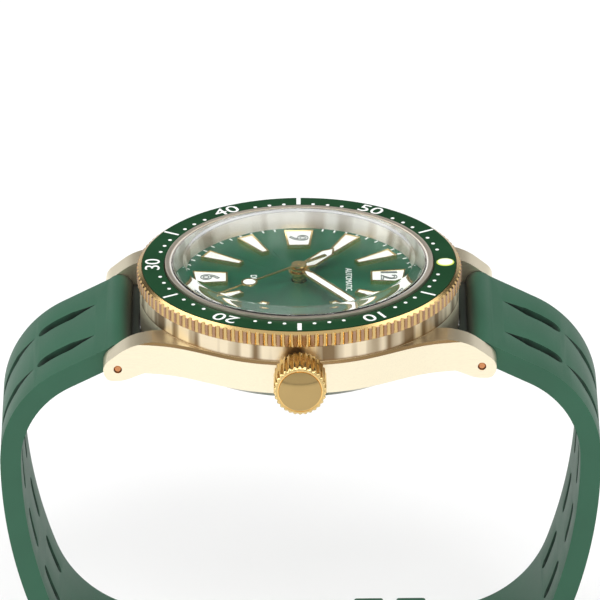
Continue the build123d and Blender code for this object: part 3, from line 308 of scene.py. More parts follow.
def dial_green():
    """Sunburst green: fine rays from the centre in colour and gloss under clear lacquer."""
    material, tree, shader = new_material("dial_sunburst")
    rays = noise(tree, round_coords(tree, 0.02, 26, 0), 1.0, 4.0, 0.7)
    wide = noise(tree, round_coords(tree, 0.01, 1.3, 0), 1.0, 1.0)
    share = times(tree, spread(tree, rays, 0.7, 1.0), spread(tree, wide, 0.45, 1.0))
    colour = blend_colours(tree, share, (0.002, 0.034, 0.016), (0.008, 0.135, 0.066))
    tree.links.new(colour, shader.inputs["Base Color"])
    tree.links.new(spread(tree, rays, 0.26, 0.40), shader.inputs["Roughness"])
    shader.inputs["Metallic"].default_value = 0.3
    shader.inputs["Specular IOR Level"].default_value = 0.2
    bump(tree, shader, rays, 0.002)
    return material


def grained(name, colour, second, rough, scale, depth=0.01, coat=0.0, paint_hollow_shade=False):
    """A grained material: lume paste, print, rubber, plastic or ruby. Painted shade may darken its colour in
    slots and gaps.
    """
    material, tree, shader = new_material(name)
    grain = noise(tree, mm_coords(tree, (scale,) * 3), 1.0, 5.0, 0.6)
    cloud = noise(tree, mm_coords(tree, (0.12,) * 3), 1.0, 2.0)
    share = times(tree, spread(tree, grain, 0.6, 1.0), spread(tree, cloud, 0.4, 1.0))
    tint = blend_colours(tree, share, colour, second)
    if paint_hollow_shade:
        # Painted shade: ambient occlusion darkens the colour in slots and in gaps beside other parts.
        near = add(tree, "AmbientOcclusion", 1, _samples=12, _only_local=True, Distance=2.5 * MM)
        wide = add(tree, "AmbientOcclusion", 1, _samples=12, Distance=7 * MM)
        slot_shade = spread(tree, near, 0.02, 1.0, 0.45, 0.85)
        gap_shade = spread(tree, wide, 0.06, 1.0, 0.30, 0.72)
        tint = add(tree, "VectorMath", _operation="SCALE", i0=tint, Scale=times(tree, slot_shade, gap_shade))
    tree.links.new(tint, shader.inputs["Base Color"])
    tree.links.new(spread(tree, grain, rough - 0.06, rough + 0.06), shader.inputs["Roughness"])
    shader.inputs["Coat Weight"].default_value = coat
    shader.inputs["Coat Roughness"].default_value = 0.25
    bump(tree, shader, grain, depth)
    return material


def rubber(name, colour, second, rough):
    """Moulded strap rubber with painted shade in its slots and gaps."""
    return grained(name, colour, second, rough, 9, 0.008, paint_hollow_shade=True)


def crystal_glass():
    """Sapphire: clear, with faint smears, and letting the lamps' light through."""
    material, tree, shader = new_material("sapphire")
    smear = noise(tree, mm_coords(tree, (0.2, 0.35, 0.2)), 1.0, 3.0)
    tree.links.new(spread(tree, smear, 0.0, 0.012, 0.45, 0.8), shader.inputs["Roughness"])
    shader.inputs["Base Color"].default_value = (0.985, 1.0, 0.995, 1)
    shader.inputs["IOR"].default_value = 1.6
    shader.inputs["Specular IOR Level"].default_value = 0.2
    shader.inputs["Transmission Weight"].default_value = 1.0
    shadow = add(tree, "LightPath", 1)
    clear = add(tree, "BsdfTransparent", Color=(0.97, 0.985, 0.98, 1))
    mix = add(tree, "MixShader", i0=shadow, i1=shader.outputs[0], i2=clear)
    tree.links.new(mix, tree.nodes["Material Output"].inputs["Surface"])
    return material


def lume_pip():
    """The bezel pip: white paste with a yellow-green edge."""
    material, tree, shader = new_material("pip_lume")
    offset = add(tree, "VectorMath", _operation="SUBTRACT", i0=mm_coords(tree), i1=(PIP_X, 0, 0))
    edge = spread(tree, flat_length(tree, offset), 0, 1, 0.84, 0.94)
    grain = noise(tree, mm_coords(tree, (9, 9, 9)), 1.0, 4.0)
    paste = blend_colours(tree, spread(tree, grain, 0, 1), (0.86, 0.87, 0.82), (0.95, 0.95, 0.91))
    colour = blend_colours(tree, edge, paste, (0.62, 0.72, 0.10))
    tree.links.new(colour, shader.inputs["Base Color"])
    tree.links.new(spread(tree, grain, 0.3, 0.45), shader.inputs["Roughness"])
    bump(tree, shader, grain, 0.01)
    return material


MATERIALS = {
    "case_metal": case_metal(),
    "case_back_metal": turned_metal("case_back_turned", (0.72, 0.68, 0.60), 0.30),
    "rehaut_metal": rehaut_metal(),
    "bezel_metal": bezel_metal(),
    "crown_metal": crown_metal(),
    "insert_green": insert_green(),
    "lume": grained("lume_paste", (0.84, 0.85, 0.80), (0.95, 0.95, 0.92), 0.42, 7, 0.008),
    "pip": lume_pip(),
    "crystal_glass": crystal_glass(),
    "dial_green": dial_green(),
    "gold": metal("polished_gold", (0.95, 0.72, 0.34), 0.24, (5, 5, 5), 0.0015, 0.88, 0.06),
    "gasket_rubber": grained("black_rubber", (0.012, 0.012, 0.012), (0.03, 0.03, 0.03), 0.5, 6),
    "gasket_clear": grained("nylon", (0.62, 0.60, 0.55), (0.75, 0.73, 0.68), 0.35, 6),
    "spring_steel": metal("spring_steel", (0.55, 0.58, 0.64), 0.18, (9, 9, 9)),
    "steel": metal("bridge_steel", (0.62, 0.62, 0.63), 0.28, (1.2, 14, 9), 0.006),
    "movement_brass": turned_metal("gilt_brass", (0.80, 0.60, 0.26), 0.25),
    "holder_plastic": grained("holder_plastic", (0.40, 0.40, 0.38), (0.55, 0.55, 0.52), 0.5, 4),
    "ruby": grained("ruby", (0.35, 0.01, 0.05), (0.55, 0.02, 0.10), 0.1, 5, 0.002, 0.8),
    "pin_copper": metal("copper_pin", (0.62, 0.27, 0.12), 0.2, (8, 8, 8)),
    "strap_rubber": rubber("strap_green", (0.011, 0.074, 0.036), (0.017, 0.100, 0.052), 0.55),
    # Painted shade: a darker copy of the strap rubber, for the blocks between strap and case.
    "strap_painted_shade": rubber("strap_painted_shade", (0.0035, 0.020, 0.010), (0.005, 0.028, 0.014), 0.7),
    "buckle_metal": metal("buckle_champagne", CHAMPAGNE, 0.28, (0.5, 9, 9), 0.005),
    "print_white": grained("print_white", (0.88, 0.88, 0.86), (0.97, 0.97, 0.96), 0.4, 12, 0.002),
    "print_grey": grained("print_grey", (0.10, 0.12, 0.11), (0.16, 0.18, 0.17), 0.45, 12, 0.002),
}

# A node's finish is its material slot's, except for these two.
NODE_FINISH = {"rehaut": "rehaut_metal", "bezel_pip": "pip"}
for row in frame["record"]["subparts"]:
    node = NODES[row["node"]]
    finish = NODE_FINISH.get(row["node"], row["material_slot"])
    for place in node.material_slots:
        place.material = MATERIALS[finish]

# ---------------------------------------------------------------- mesh helpers


def new_piece(name, mesh_data, finish, body, sharp=32):
    """A finished piece: smooth shading with sharp edges, one material, and the body that it rides on."""
    mesh_data.materials.clear()
    mesh_data.materials.append(MATERIALS[finish])
    mesh_data.polygons.foreach_set("use_smooth", [True] * len(mesh_data.polygons))
    mesh_data.set_sharp_from_angle(angle=radians(sharp))
    piece = bpy.data.objects.new(name, mesh_data)
    bpy.context.scene.collection.objects.link(piece)
    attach(piece, body)
    return piece


def mesh_of(points, faces, name):
    """A closed mesh from points in millimetres, with its faces turned outward."""
    made = bpy.data.meshes.new(name)
    made.from_pydata([tuple(v * MM for v in p) for p in points], [], faces)
    made.validate()
    work = bmesh.new()
    work.from_mesh(made)
    bmesh.ops.recalc_face_normals(work, faces=work.faces)
    work.to_mesh(made)
    work.free()
    return made


def ring_faces(pairs, count):
    """Faces between pairs of rings, each given by its first vertex and its size: 1 or the count."""
    faces = []
    for (a, n_a), (b, n_b) in pairs:
        for i in range(count):
            j = (i + 1) % count
            ring = [a + i % n_a, a + j % n_a, b + j % n_b, b + i % n_b]
            face = list(dict.fromkeys(ring))
            if len(face) > 2:
                faces.append(face)
    return faces


def lathe(name, profile, segments):
    """Turns a closed (radius, height) profile about the hands' axis. Points on the axis become one vertex."""
    points, rings = [], []
    for radius, height in profile:
        count = 1 if radius < 1e-6 else segments
        rings.append((len(points), count))
        for i in range(count):
            angle = 2 * pi * i / segments
            points.append((radius * cos(angle), radius * sin(angle), height))
    return mesh_of(points, ring_faces(zip(rings, rings[1:] + rings[:1]), segments), name)


FONT_SCALE = 1.42  # the typeface's size over the height of its figures


def text_mesh(text, height, thick, outline=0.0):
    """Text in the built-in typeface, in mm, centred and standing on z = 0. An outline draws only its edge."""
    curve = bpy.data.curves.new("number", "FONT")
    curve.body = text
    curve.align_x, curve.align_y = "CENTER", "CENTER"
    curve.size = height * FONT_SCALE
    curve.resolution_u = 6
    if outline:
        curve.fill_mode = "NONE"
        curve.bevel_depth = outline
        curve.bevel_resolution = 1
    else:
        curve.extrude = thick / 2
    holder = bpy.data.objects.new("number", curve)
    bpy.context.scene.collection.objects.link(holder)
    bpy.context.view_layer.update()
    made = bpy.data.meshes.new_from_object(holder.evaluated_get(bpy.context.evaluated_depsgraph_get()))
    bpy.data.objects.remove(holder)
    xs = [v.co.x for v in made.vertices]
    ys = [v.co.y for v in made.vertices]
    shift = Vector((-(min(xs) + max(xs)) / 2, -(min(ys) + max(ys)) / 2, 0 if outline else thick / 2))
    made.transform(Matrix.Translation(shift))
    return made


def polar(radius, angle):
    """A flat point from its radius and its angle in degrees."""
    return (radius * cos(radians(angle)), radius * sin(radians(angle)))


class Sheet:
    """Gathers flat raised marks on one level into one mesh, each placed by its centre and up direction."""

    def __init__(self, level, thick):
        self.level, self.thick = level, thick
        self.work = bmesh.new()

    def place(self, made, centre, up):
        """Moves a flat mark to its centre, its top towards an angle, and adds it."""
        turn = Matrix.Rotation(radians(up - 90), 4, "Z")
        move = Matrix.Translation((*centre, self.level))
        made.transform(Matrix.Scale(MM, 4) @ move @ turn)
        self.work.from_mesh(made)

    def bar(self, inner, outer, width, angle):
        """A mark from one radius to another, standing up by the sheet's thickness."""
        half = [(-width / 2, inner), (width / 2, inner), (width / 2, outer), (-width / 2, outer)]
        points = [(x, y - (inner + outer) / 2, z) for z in (0, self.thick) for x, y in half]
        faces = [(3, 2, 1, 0), (4, 5, 6, 7), (0, 1, 5, 4), (1, 2, 6, 5), (2, 3, 7, 6), (3, 0, 4, 7)]
        made = bpy.data.meshes.new("bar")
        made.from_pydata(points, [], faces)
        self.place(made, polar((inner + outer) / 2, angle), angle)

    def dot(self, radius, size, angle):
        """A round mark on a radius."""
        steps = 20
        rim = [polar(size / 2, 360 * i / steps) for i in range(steps)]
        points = [(x, y, z) for z in (0, self.thick) for x, y in rim]
        faces = [tuple(range(steps - 1, -1, -1)), tuple(range(steps, 2 * steps))]
        faces += [(i, (i + 1) % steps, steps + (i + 1) % steps, steps + i) for i in range(steps)]
        made = bpy.data.meshes.new("dot")
        made.from_pydata(points, [], faces)
        self.place(made, polar(radius, angle), angle)

    def done(self, name):
        """The mesh of all marks."""
        made = bpy.data.meshes.new(name)
        self.work.to_mesh(made)
        self.work.free()
        return made


def minute_angle(minute):
    """Minutes run clockwise from 12 o'clock, which is +X."""
    return -6.0 * minute


# ---------------------------------------------------------------- bezel scale

MARK_THICK = 0.04
MARK_END = 18.72  # radius where the scale's bars end
NUMBER_R, NUMBER_HIGH, NUMBER_STRETCH = 17.6, 1.8, 1.3
DOT_R, DOT_SIZE = 17.0, 0.45

scale = Sheet(INSERT_TOP - 0.01, MARK_THICK)
for minute in range(1, 60):
    angle = minute_angle(minute)
    if minute in (15, 45):
        scale.bar(16.9, MARK_END, 0.5, angle)
    elif minute in (5, 25, 35, 55):
        scale.bar(16.75, MARK_END, 0.3, angle)
    elif minute % 10 == 0:
        number = text_mesh(str(minute), NUMBER_HIGH, MARK_THICK)
        number.transform(Matrix.Scale(NUMBER_STRETCH, 4, (1, 0, 0)))
        scale.place(number, polar(NUMBER_R, angle), angle)
    elif minute % 10 not in (1, 9):
        scale.dot(DOT_R, DOT_SIZE, angle)
new_piece("bezel_scale", scale.done("bezel_scale"), "print_white", "bezel", 60)

# ---------------------------------------------------------------- dial printing

PRINT_THICK = 0.02
WORD_HIGH = 0.75

track = Sheet(DIAL_TOP - 0.005, PRINT_THICK)
for minute in range(60):
    if minute % 15 not in (0, 1, 14):
        track.bar(13.55, 14.1, 0.2 if minute % 5 else 0.26, minute_angle(minute))
for word, x in (("AUTOMATIC", 5.9), ("DIVER", -5.4)):
    track.place(text_mesh(word, WORD_HIGH, PRINT_THICK), (x, 0), 0)
new_piece("minute_track", track.done("minute_track"), "print_white", "case", 60)

figures = Sheet(LUME_TOP + 0.01, PRINT_THICK)
for number, radius, height in (("12", 10.7, 1.9), ("3", 10.6, 2.2), ("6", 10.6, 2.2), ("9", 10.6, 2.2)):
    figure = text_mesh(number, height, PRINT_THICK, outline=0.07)
    figures.place(figure, polar(radius, minute_angle(5 * int(number))), 0)
new_piece("dial_figures", figures.done("dial_figures"), "print_grey", "case", 60)

# ---------------------------------------------------------------- crystal


def dome(radius, edge, top, steps):
    """Points of a shallow dome from its top on the axis out to its edge."""
    rise = top - edge
    ball = (radius**2 + rise**2) / (2 * rise)
    places = [radius * i / steps for i in range(steps + 1)]
    return [(r, top - (ball - sqrt(ball**2 - r**2))) for r in places]


def rounded(profile, radius, steps=4):
    """Rounds the corners of an open profile; its two ends stay."""
    out = [profile[0]]
    for before, corner, after in zip(profile, profile[1:], profile[2:]):
        a, c, b = Vector(before), Vector(corner), Vector(after)
        cut = min(radius, (a - c).length / 2.2, (b - c).length / 2.2)
        p, q = c + (a - c).normalized() * cut, c + (b - c).normalized() * cut
        for i in range(steps + 1):
            t = i / steps
            spot = p * (1 - t) ** 2 + c * 2 * t * (1 - t) + q * t**2
            out.append((spot.x, spot.y))
    return out + [profile[-1]]


BEVEL_R, BEVEL_DROP, WALL_DROP = 13.9, 1.05, 1.55  # the dome's edge, and the drops to it and to the wall
HOLLOW_R, HOLLOW_EDGE, HOLLOW_RISE = 13.7, 0.35, 1.3  # the underside's radius, and its heights over the foot
FOOT_R = 14.55

outside = dome(BEVEL_R, CRYSTAL_TOP - BEVEL_DROP, CRYSTAL_TOP, 24)
edge = rounded([outside[-1], (CRYSTAL_R, CRYSTAL_TOP - WALL_DROP), (CRYSTAL_R, CRYSTAL_Z)], 0.12)
inside = dome(HOLLOW_R, CRYSTAL_Z + HOLLOW_EDGE, CRYSTAL_Z + HOLLOW_RISE, 20)
soft_edge = rounded([outside[-2], outside[-1], edge[1]], 0.08)[1:-1]
profile = outside[:-1] + soft_edge + edge[1:] + [(FOOT_R, CRYSTAL_Z)] + inside[::-1]
glass = lathe("crystal_dome", profile, 256)
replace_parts(new_piece("crystal_dome", glass, "crystal_glass", "case", 60), "crystal")

# ---------------------------------------------------------------- crown

CROWN_TEETH, FLUTE_DEPTH, CROWN_BORE = 30, 0.2, 1.9
FACE_R, FACE_RISE = 2.52, 0.56  # the domed face: its radius and its height


def crown_mesh():
    """The knurled crown: rounded teeth that run out at both ends, a rim groove and a domed face."""
    front, rear = CROWN_LOW[1], CROWN_HIGH[1]
    rim = front + 0.6
    profile = [  # radius, place along the axis, share of the flutes' depth
        (0, rear - CROWN_BORE, 0),
        (2.0, rear - CROWN_BORE, 0),
        (2.0, rear, 0),
        (2.7, rear, 0),
        (2.92, rear - 0.08, 0.3),
        (CROWN_R - 0.03, rear - 0.22, 0.8),
        (CROWN_R, rear - 0.36, 1),
        (CROWN_R, rim + 0.34, 1),
        (CROWN_R - 0.03, rim + 0.2, 0.85),
        (2.98, rim + 0.06, 0.4),
        (2.86, rim, 0),
        (2.66, rim, 0),
        (2.64, rim + 0.1, 0),
        (2.58, rim + 0.1, 0),
    ]
    for i in range(10, -1, -1):
        share = i / 10
        profile.append((FACE_R * share, front + FACE_RISE * share**2, 0))
    steps = 14
    count = CROWN_TEETH * steps
    points, rings = [], []
    for radius, along, share in profile:
        places = 1 if radius == 0 else count
        rings.append((len(points), places))
        for i in range(places):
            groove = (0.5 - 0.5 * cos(2 * pi * i / steps)) ** 1.3
            r = radius - FLUTE_DEPTH * share * groove
            angle = 2 * pi * i / count
            points.append((r * sin(angle), along, CROWN_Z + r * cos(angle)))
    return mesh_of(points, ring_faces(zip(rings, rings[1:]), count), "crown_knurled")


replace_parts(new_piece("crown_knurled", crown_mesh(), "crown_metal", "crown", 40), "crown")

# ---------------------------------------------------------------- strap

STRAP_OUT, STRAP_IN = 1.6, 0.9  # thickness over and under the path
EYE_R = 1.7  # the eye round the spring bar
HALF_TOP, HALF_LOW = 9.85, 9.0  # half widths at the case and at the buckle
BUCKLE_BAR = box_mm("buckle_bar")
BUCKLE_X = (BUCKLE_BAR[0][0] + BUCKLE_BAR[1][0]) / 2
RUN, SLOPE = 7.0, 27.0  # the first straight length and its fall in degrees
BENDS = [(12.0, 63.0), (60.0, 20.0), (15.0, 70.0)]  # radius and turn of each side bend
SLOT_FIRST, SLOT_STEP, SLOT_COUNT = 7.4, 8.2, 5
SLOT_LENGTH, SLOT_WIDE, SLOT_ROW = 5.4, 1.9, 4.3
STATION = 0.55  # length of a bending slice
THROUGH = 4  # half height of a cutter that passes through the strap
BAR_HOLE_R = 0.85
NOTCH_DEEP, NOTCH_HALF = 2.2, 1.5  # the tongue's notch at the buckle
HOLE_PLACES = (13.2, 0.9, -10.8, -5.0)  # X of the tongue holes
TAIL_ROUND = 5.0


class Run:
    """The strap's path in its side view: lines and arcs, read by distance from the spring bar."""

    def __init__(self):
        self.steps = []
        self.spot, self.heading, self.length = (BAR_X, BAR_Z), -SLOPE, 0.0

    def line(self, length):
        """Adds a straight length."""
        self.steps.append((self.length, self.spot, self.heading, None, length))
        step = polar(length, self.heading)
        self.spot = (self.spot[0] + step[0], self.spot[1] + step[1])
        self.length += length

    def arc(self, radius, turn):
        """Adds a bend of a radius and a signed turn in degrees."""
        self.steps.append((self.length, self.spot, self.heading, (radius, turn), radius * radians(abs(turn))))
        self.spot, self.heading = self.along_arc(self.spot, self.heading, radius, turn)
        self.length += radius * radians(abs(turn))

    @staticmethod
    def along_arc(spot, heading, radius, turn):
        """Point and heading after a turn."""
        side = 1 if turn > 0 else -1
        out = polar(radius, heading - 90 * side)
        back = polar(radius, heading - 90 * side + turn)
        return (spot[0] - out[0] + back[0], spot[1] - out[1] + back[1]), heading + turn

    def at(self, distance):
        """Point and heading at a distance; before the start the first line is carried back."""
        for start, spot, heading, bend, length in self.steps:
            if distance <= start + length or (start, spot) == self.steps[-1][:2]:
                break
        left = distance - start
        if bend is None:
            step = polar(left, heading)
            return (spot[0] + step[0], spot[1] + step[1]), heading
        radius, turn = bend
        return self.along_arc(spot, heading, radius, turn * left / length)


def side_run():
    """The part that both halves share, from the spring bar to the flat under the wrist."""
    run = Run()
    run.line(RUN)
    for radius, turn in BENDS:
        run.arc(radius, -turn)
    return run


FLAT_X, FLAT_Z = side_run().spot
TAIL_DROP = STRAP_OUT + STRAP_IN + 0.15  # how far the tail lies under the buckle half
S_RUN, S_START = 8.2, 6.0  # the double bend that takes it there
S_TURN = 2 * degrees(atan2(TAIL_DROP, S_RUN))
S_RADIUS = S_RUN / (2 * sin(radians(S_TURN)))
TAIL_TURN = 58.0


def short_run():
    """The buckle half's path."""
    run = side_run()
    run.line(FLAT_X - BUCKLE_X)
    return run


def long_run():
    """The tail half's path, under the buckle half and up its far side."""
    run = side_run()
    run.line(FLAT_X - S_START)
    run.arc(S_RADIUS, S_TURN)
    run.arc(S_RADIUS, -S_TURN)
    run.line(FLAT_X - (S_RUN - S_START))
    run.arc(BENDS[-1][0] + TAIL_DROP, -TAIL_TURN)
    return run


def solid(outline, low, high):
    """A closed prism from a flat (x, y) outline between two heights."""
    work = bmesh.new()
    under = [work.verts.new((x, y, low)) for x, y in outline]
    over = [work.verts.new((x, y, high)) for x, y in outline]
    work.faces.new(under[::-1])
    work.faces.new(over)
    for i in range(len(outline)):
        j = (i + 1) % len(outline)
        work.faces.new((under[i], under[j], over[j], over[i]))
    bmesh.ops.recalc_face_normals(work, faces=work.faces)
    return work


def slot_outline(centre, length, width, row):
    """A round-ended slot's outline: its ends are half circles."""
    steps = 8
    r, reach = width / 2, (length - width) / 2
    points = []
    for end, first in ((1, -90), (-1, 90)):
        for i in range(steps + 1):
            x, y = polar(r, first + 180 * i / steps)
            points.append((centre + end * reach + x, row + y))
    return points


def cutter_object(parts):
    """One object holding separate closed solids to cut away."""
    whole = bpy.data.meshes.new("cutter")
    gather = bmesh.new()
    for part in parts:
        part.to_mesh(whole)
        gather.from_mesh(whole)
        part.free()
    gather.to_mesh(whole)
    gather.free()
    cutter = bpy.data.objects.new("cutter", whole)
    bpy.context.scene.collection.objects.link(cutter)
    return cutter


def ramp(start, end, row, width):
    """The pointed groove that runs down into a slot from its lug end, as a closed wedge."""
    top, deep = STRAP_OUT + 0.4, STRAP_OUT - 1.3
    half, foot = width / 2, width / 2 * 0.9
    work = bmesh.new()
    over = work.verts.new((start, row, top))
    under = work.verts.new((start, row, STRAP_OUT - 0.02))
    corners = ((-half, top), (half, top), (foot, deep), (-foot, deep))
    a, b, c, d = (work.verts.new((end, row + across, lift)) for across, lift in corners)
    for face in ((over, b, a), (under, d, c), (over, under, c, b), (over, a, d, under), (a, b, c, d)):
        work.faces.new(face)
    bmesh.ops.recalc_face_normals(work, faces=work.faces)
    return work


def strap_side_view(length, round_end):
    """Outline of the unrolled strap seen from the side: distance along it and height through it."""
    leave = sqrt(EYE_R**2 - STRAP_OUT**2)  # where the outer face leaves the eye
    eye_over = [polar(EYE_R, 180 - 12 * i) for i in range(16)]
    eye_under = [polar(EYE_R, 180 + 12 * i) for i in range(1, 16)]
    over = [(x, y) for x, y in eye_over if y >= 0 and x < leave] + [(leave + 0.1, STRAP_OUT)]
    under = [(x, y) for x, y in eye_under if y < -STRAP_IN - 0.05]
    under += [(EYE_R + 0.25, -STRAP_IN - 0.03), (EYE_R + 0.9, -STRAP_IN)]
    if not round_end:
        return over + [(length, STRAP_OUT), (length, -STRAP_IN)] + under[::-1]
    middle, r = (STRAP_OUT - STRAP_IN) / 2, (STRAP_OUT + STRAP_IN) / 2
    cap = [(length + polar(r, a)[0], middle + polar(r, a)[1]) for a in range(90, -91, -15)]
    return over + cap + under[::-1]


def strap_piece(name, run, flip, cutters, round_end):
    """Cuts a strap half flat, softens its edges, slices it finely and bends it along its run."""
    side = solid(strap_side_view(run.length, round_end), -HALF_TOP, HALF_TOP)
    stand = Matrix(((1, 0, 0, 0), (0, 0, 1, 0), (0, 1, 0, 0), (0, 0, 0, 1)))  # swaps Y and Z
    bmesh.ops.transform(side, matrix=stand, verts=side.verts)
    bmesh.ops.recalc_face_normals(side, faces=side.faces)
    flat = bpy.data.meshes.new(name)
    side.to_mesh(flat)
    side.free()
    piece = bpy.data.objects.new(name + "_flat", flat)
    bpy.context.scene.collection.objects.link(piece)
    cutter = cutter_object(cutters)
    cut = piece.modifiers.new("cut", "BOOLEAN")
    cut.object, cut.operation, cut.solver = cutter, "DIFFERENCE", "EXACT"
    cut.use_self = True
    soft = piece.modifiers.new("soft", "BEVEL")
    soft.width, soft.segments, soft.limit_method, soft.angle_limit = 0.22, 3, "ANGLE", radians(38)
    soft.miter_outer = "MITER_ARC"
    bpy.context.view_layer.update()
    made = bpy.data.meshes.new_from_object(piece.evaluated_get(bpy.context.evaluated_depsgraph_get()))
    bpy.data.objects.remove(piece)
    bpy.data.objects.remove(cutter)
    work = bmesh.new()
    work.from_mesh(made)
    slices = int((run.length + 2) / STATION)
    for i in range(slices):
        spot = 1.0 + i * STATION
        everything = work.verts[:] + work.edges[:] + work.faces[:]
        bmesh.ops.bisect_plane(work, geom=everything, plane_co=(spot, 0, 0), plane_no=(1, 0, 0), dist=1e-5)
    bmesh.ops.triangulate(work, faces=[f for f in work.faces if len(f.verts) > 4])
    for vert in work.verts:
        along, across, lift = vert.co
        (x, z), heading = run.at(along)
        out = polar(lift, heading + 90)
        x, z = x + out[0], z + out[1]
        share = min(max(z / FLAT_Z, 0.0), 1.0)
        across *= (HALF_TOP + (HALF_LOW - HALF_TOP) * share) / HALF_TOP
        vert.co = Vector((-x if flip else x, across, z)) * MM
    bmesh.ops.recalc_face_normals(work, faces=work.faces)
    work.to_mesh(made)
    work.free()
    made.name = name
    return new_piece(name, made, "strap_rubber", "case", 30)


def eye_hole():
    """The cutter for the spring bar's hole."""
    hole = solid([polar(BAR_HOLE_R, 15 * i) for i in range(24)], -12, 12)
    bmesh.ops.transform(hole, matrix=Matrix.Rotation(radians(90), 4, "X"), verts=hole.verts)
    return hole


def slot_cutters():
    """The spring bar's hole and two rows of slots, each slot with its pointed groove."""
    cuts = [eye_hole()]
    for i in range(SLOT_COUNT):
        middle = SLOT_FIRST + SLOT_STEP * i
        for row in (-SLOT_ROW, SLOT_ROW):
            cuts.append(solid(slot_outline(middle, SLOT_LENGTH, SLOT_WIDE, row), -THROUGH, THROUGH))
            start = middle - SLOT_LENGTH / 2
            cuts.append(ramp(start - 2.3, start + 0.95, row, SLOT_WIDE))
    return cuts


def hole_cutter(distance):
    """A tongue hole at a distance along the strap."""
    return solid(slot_outline(distance, 3.0, 2.0, 0), -THROUGH, THROUGH)


def tail_corners(length):
    """Two cutters that leave the free end with rounded corners."""
    cuts = []
    start, flank = length - TAIL_ROUND, HALF_TOP - TAIL_ROUND
    for side in (-1, 1):
        turns = [polar(TAIL_ROUND, 90 - 7.5 * i) for i in range(13)]
        outline = [(start + x, side * (flank + y)) for x, y in turns]
        outline += [(length + 1, side * flank), (length + 1, side * 11), (start, side * 11)]
        cuts.append(solid(outline, -THROUGH, THROUGH))
    return cuts


short_path, long_path = short_run(), long_run()
near, far = short_path.length - NOTCH_DEEP, short_path.length + 3
notch = [(near, -NOTCH_HALF), (far, -NOTCH_HALF), (far, NOTCH_HALF), (near, NOTCH_HALF)]
buckle_cuts = slot_cutters() + [solid(notch, -THROUGH, THROUGH)]
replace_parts(strap_piece("strap_buckle_half", short_path, False, buckle_cuts, True), "strap_short")
holes = [hole_cutter(side_run().length + FLAT_X - x) for x in HOLE_PLACES]
tail_cuts = slot_cutters() + holes + tail_corners(long_path.length)
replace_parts(strap_piece("strap_tail_half", long_path, True, tail_cuts, False), "strap_long")

END_LOW, END_TOP = 1.3, 3.2  # heights of the strap-end blocks


def strap_end(name, side):
    """The rubber block that fills the space between the lugs, hollowed to the round of the case. Its darker
    rubber is painted shade, standing in for the deep shade between strap and case.
    """
    hollow = NECK_R + 0.1
    far = BAR_X - 0.95
    reach = degrees(asin(HALF_TOP / hollow))
    near = [polar(hollow, reach - 2 * reach * i / 24) for i in range(25)]
    block = solid(near + [(far, -HALF_TOP), (far, HALF_TOP)], END_LOW, END_TOP)
    if side < 0:
        bmesh.ops.transform(block, matrix=Matrix.Rotation(pi, 4, "Z"), verts=block.verts)
    edges = [e for e in block.edges if e.calc_face_angle(0) > 0.5]
    bmesh.ops.bevel(block, geom=edges, offset=0.2, segments=2, profile=0.5, affect="EDGES")
    made = bpy.data.meshes.new(name)
    block.to_mesh(made)
    block.free()
    made.transform(Matrix.Scale(MM, 4))
    new_piece(name, made, "strap_painted_shade", "case", 40)


strap_end("strap_end_12", 1)
strap_end("strap_end_6", -1)


def rounded_rectangle(y0, y1, z0, z1, r, steps):
    """Points round a rectangle with rounded corners."""
    points = []
    corners = ((y1 - r, z1 - r, 0), (y0 + r, z1 - r, 90), (y0 + r, z0 + r, 180), (y1 - r, z0 + r, 270))
    for y, z, first in corners:
        for i in range(steps + 1):
            dy, dz = polar(r, first + 90 * i / steps)
            points.append((y + dy, z + dz))
    return points


def keeper(name, node, body):
    """A rubber loop with soft edges, in place of the plain CAD loop."""
    low, high = box_mm(node)
    wall, soft = 1.0, 0.28
    outer = rounded_rectangle(low[1], high[1], low[2], high[2], 1.3, 8)
    inner = rounded_rectangle(low[1] + wall, high[1] - wall, low[2] + wall, high[2] - wall, 0.4, 8)
    count = len(outer)
    rings = [(low[0], soft), (low[0] + soft * 0.3, soft * 0.3), (low[0] + soft, 0)]
    rings += [(high[0] - soft, 0), (high[0] - soft * 0.3, soft * 0.3), (high[0], soft)]
    points = []
    for x, inset in rings:
        for (y, z), (iy, iz) in zip(outer, inner):
            way = Vector((iy - y, iz - z)).normalized()
            points.append((x, y + way.x * inset, z + way.y * inset))
    for x, inset in rings[::-1]:
        for (y, z), (iy, iz) in zip(outer, inner):
            way = Vector((iy - y, iz - z)).normalized()
            points.append((x, iy - way.x * inset, iz - way.y * inset))
    loops = [(ring * count, count) for ring in range(2 * len(rings))]
    made = mesh_of(points, ring_faces(zip(loops, loops[1:] + loops[:1]), count), name)
    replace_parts(new_piece(name, made, "strap_rubber", body, 40), node)


keeper("keeper_loop_fixed", "keeper_fixed", "case")
keeper("keeper_loop_free", "keeper_free", "keeper_free")

# ---------------------------------------------------------------- stage, light and camera


def stage_floor():
    """A plain pale floor that the strap stands on."""
    material, tree, shader = new_material("pale_floor")
    cloud = noise(tree, mm_coords(tree, (0.01,) * 3), 1.0, 2.0)
    colour = blend_colours(tree, spread(tree, cloud, 0, 1), (0.86, 0.86, 0.86), (0.9, 0.9, 0.9))
    tree.links.new(colour, shader.inputs["Base Color"])
    shader.inputs["Roughness"].default_value = 0.9
    made = bpy.data.meshes.new("floor")
    reach = 3.0
    corners = [(x * reach, y * reach, FLOOR_Z) for x, y in ((-1, -1), (1, -1), (1, 1), (-1, 1))]
    made.from_pydata(corners, [], [(0, 1, 2, 3)])
    made.materials.append(material)
    floor = bpy.data.objects.new("floor", made)
    bpy.context.scene.collection.objects.link(floor)


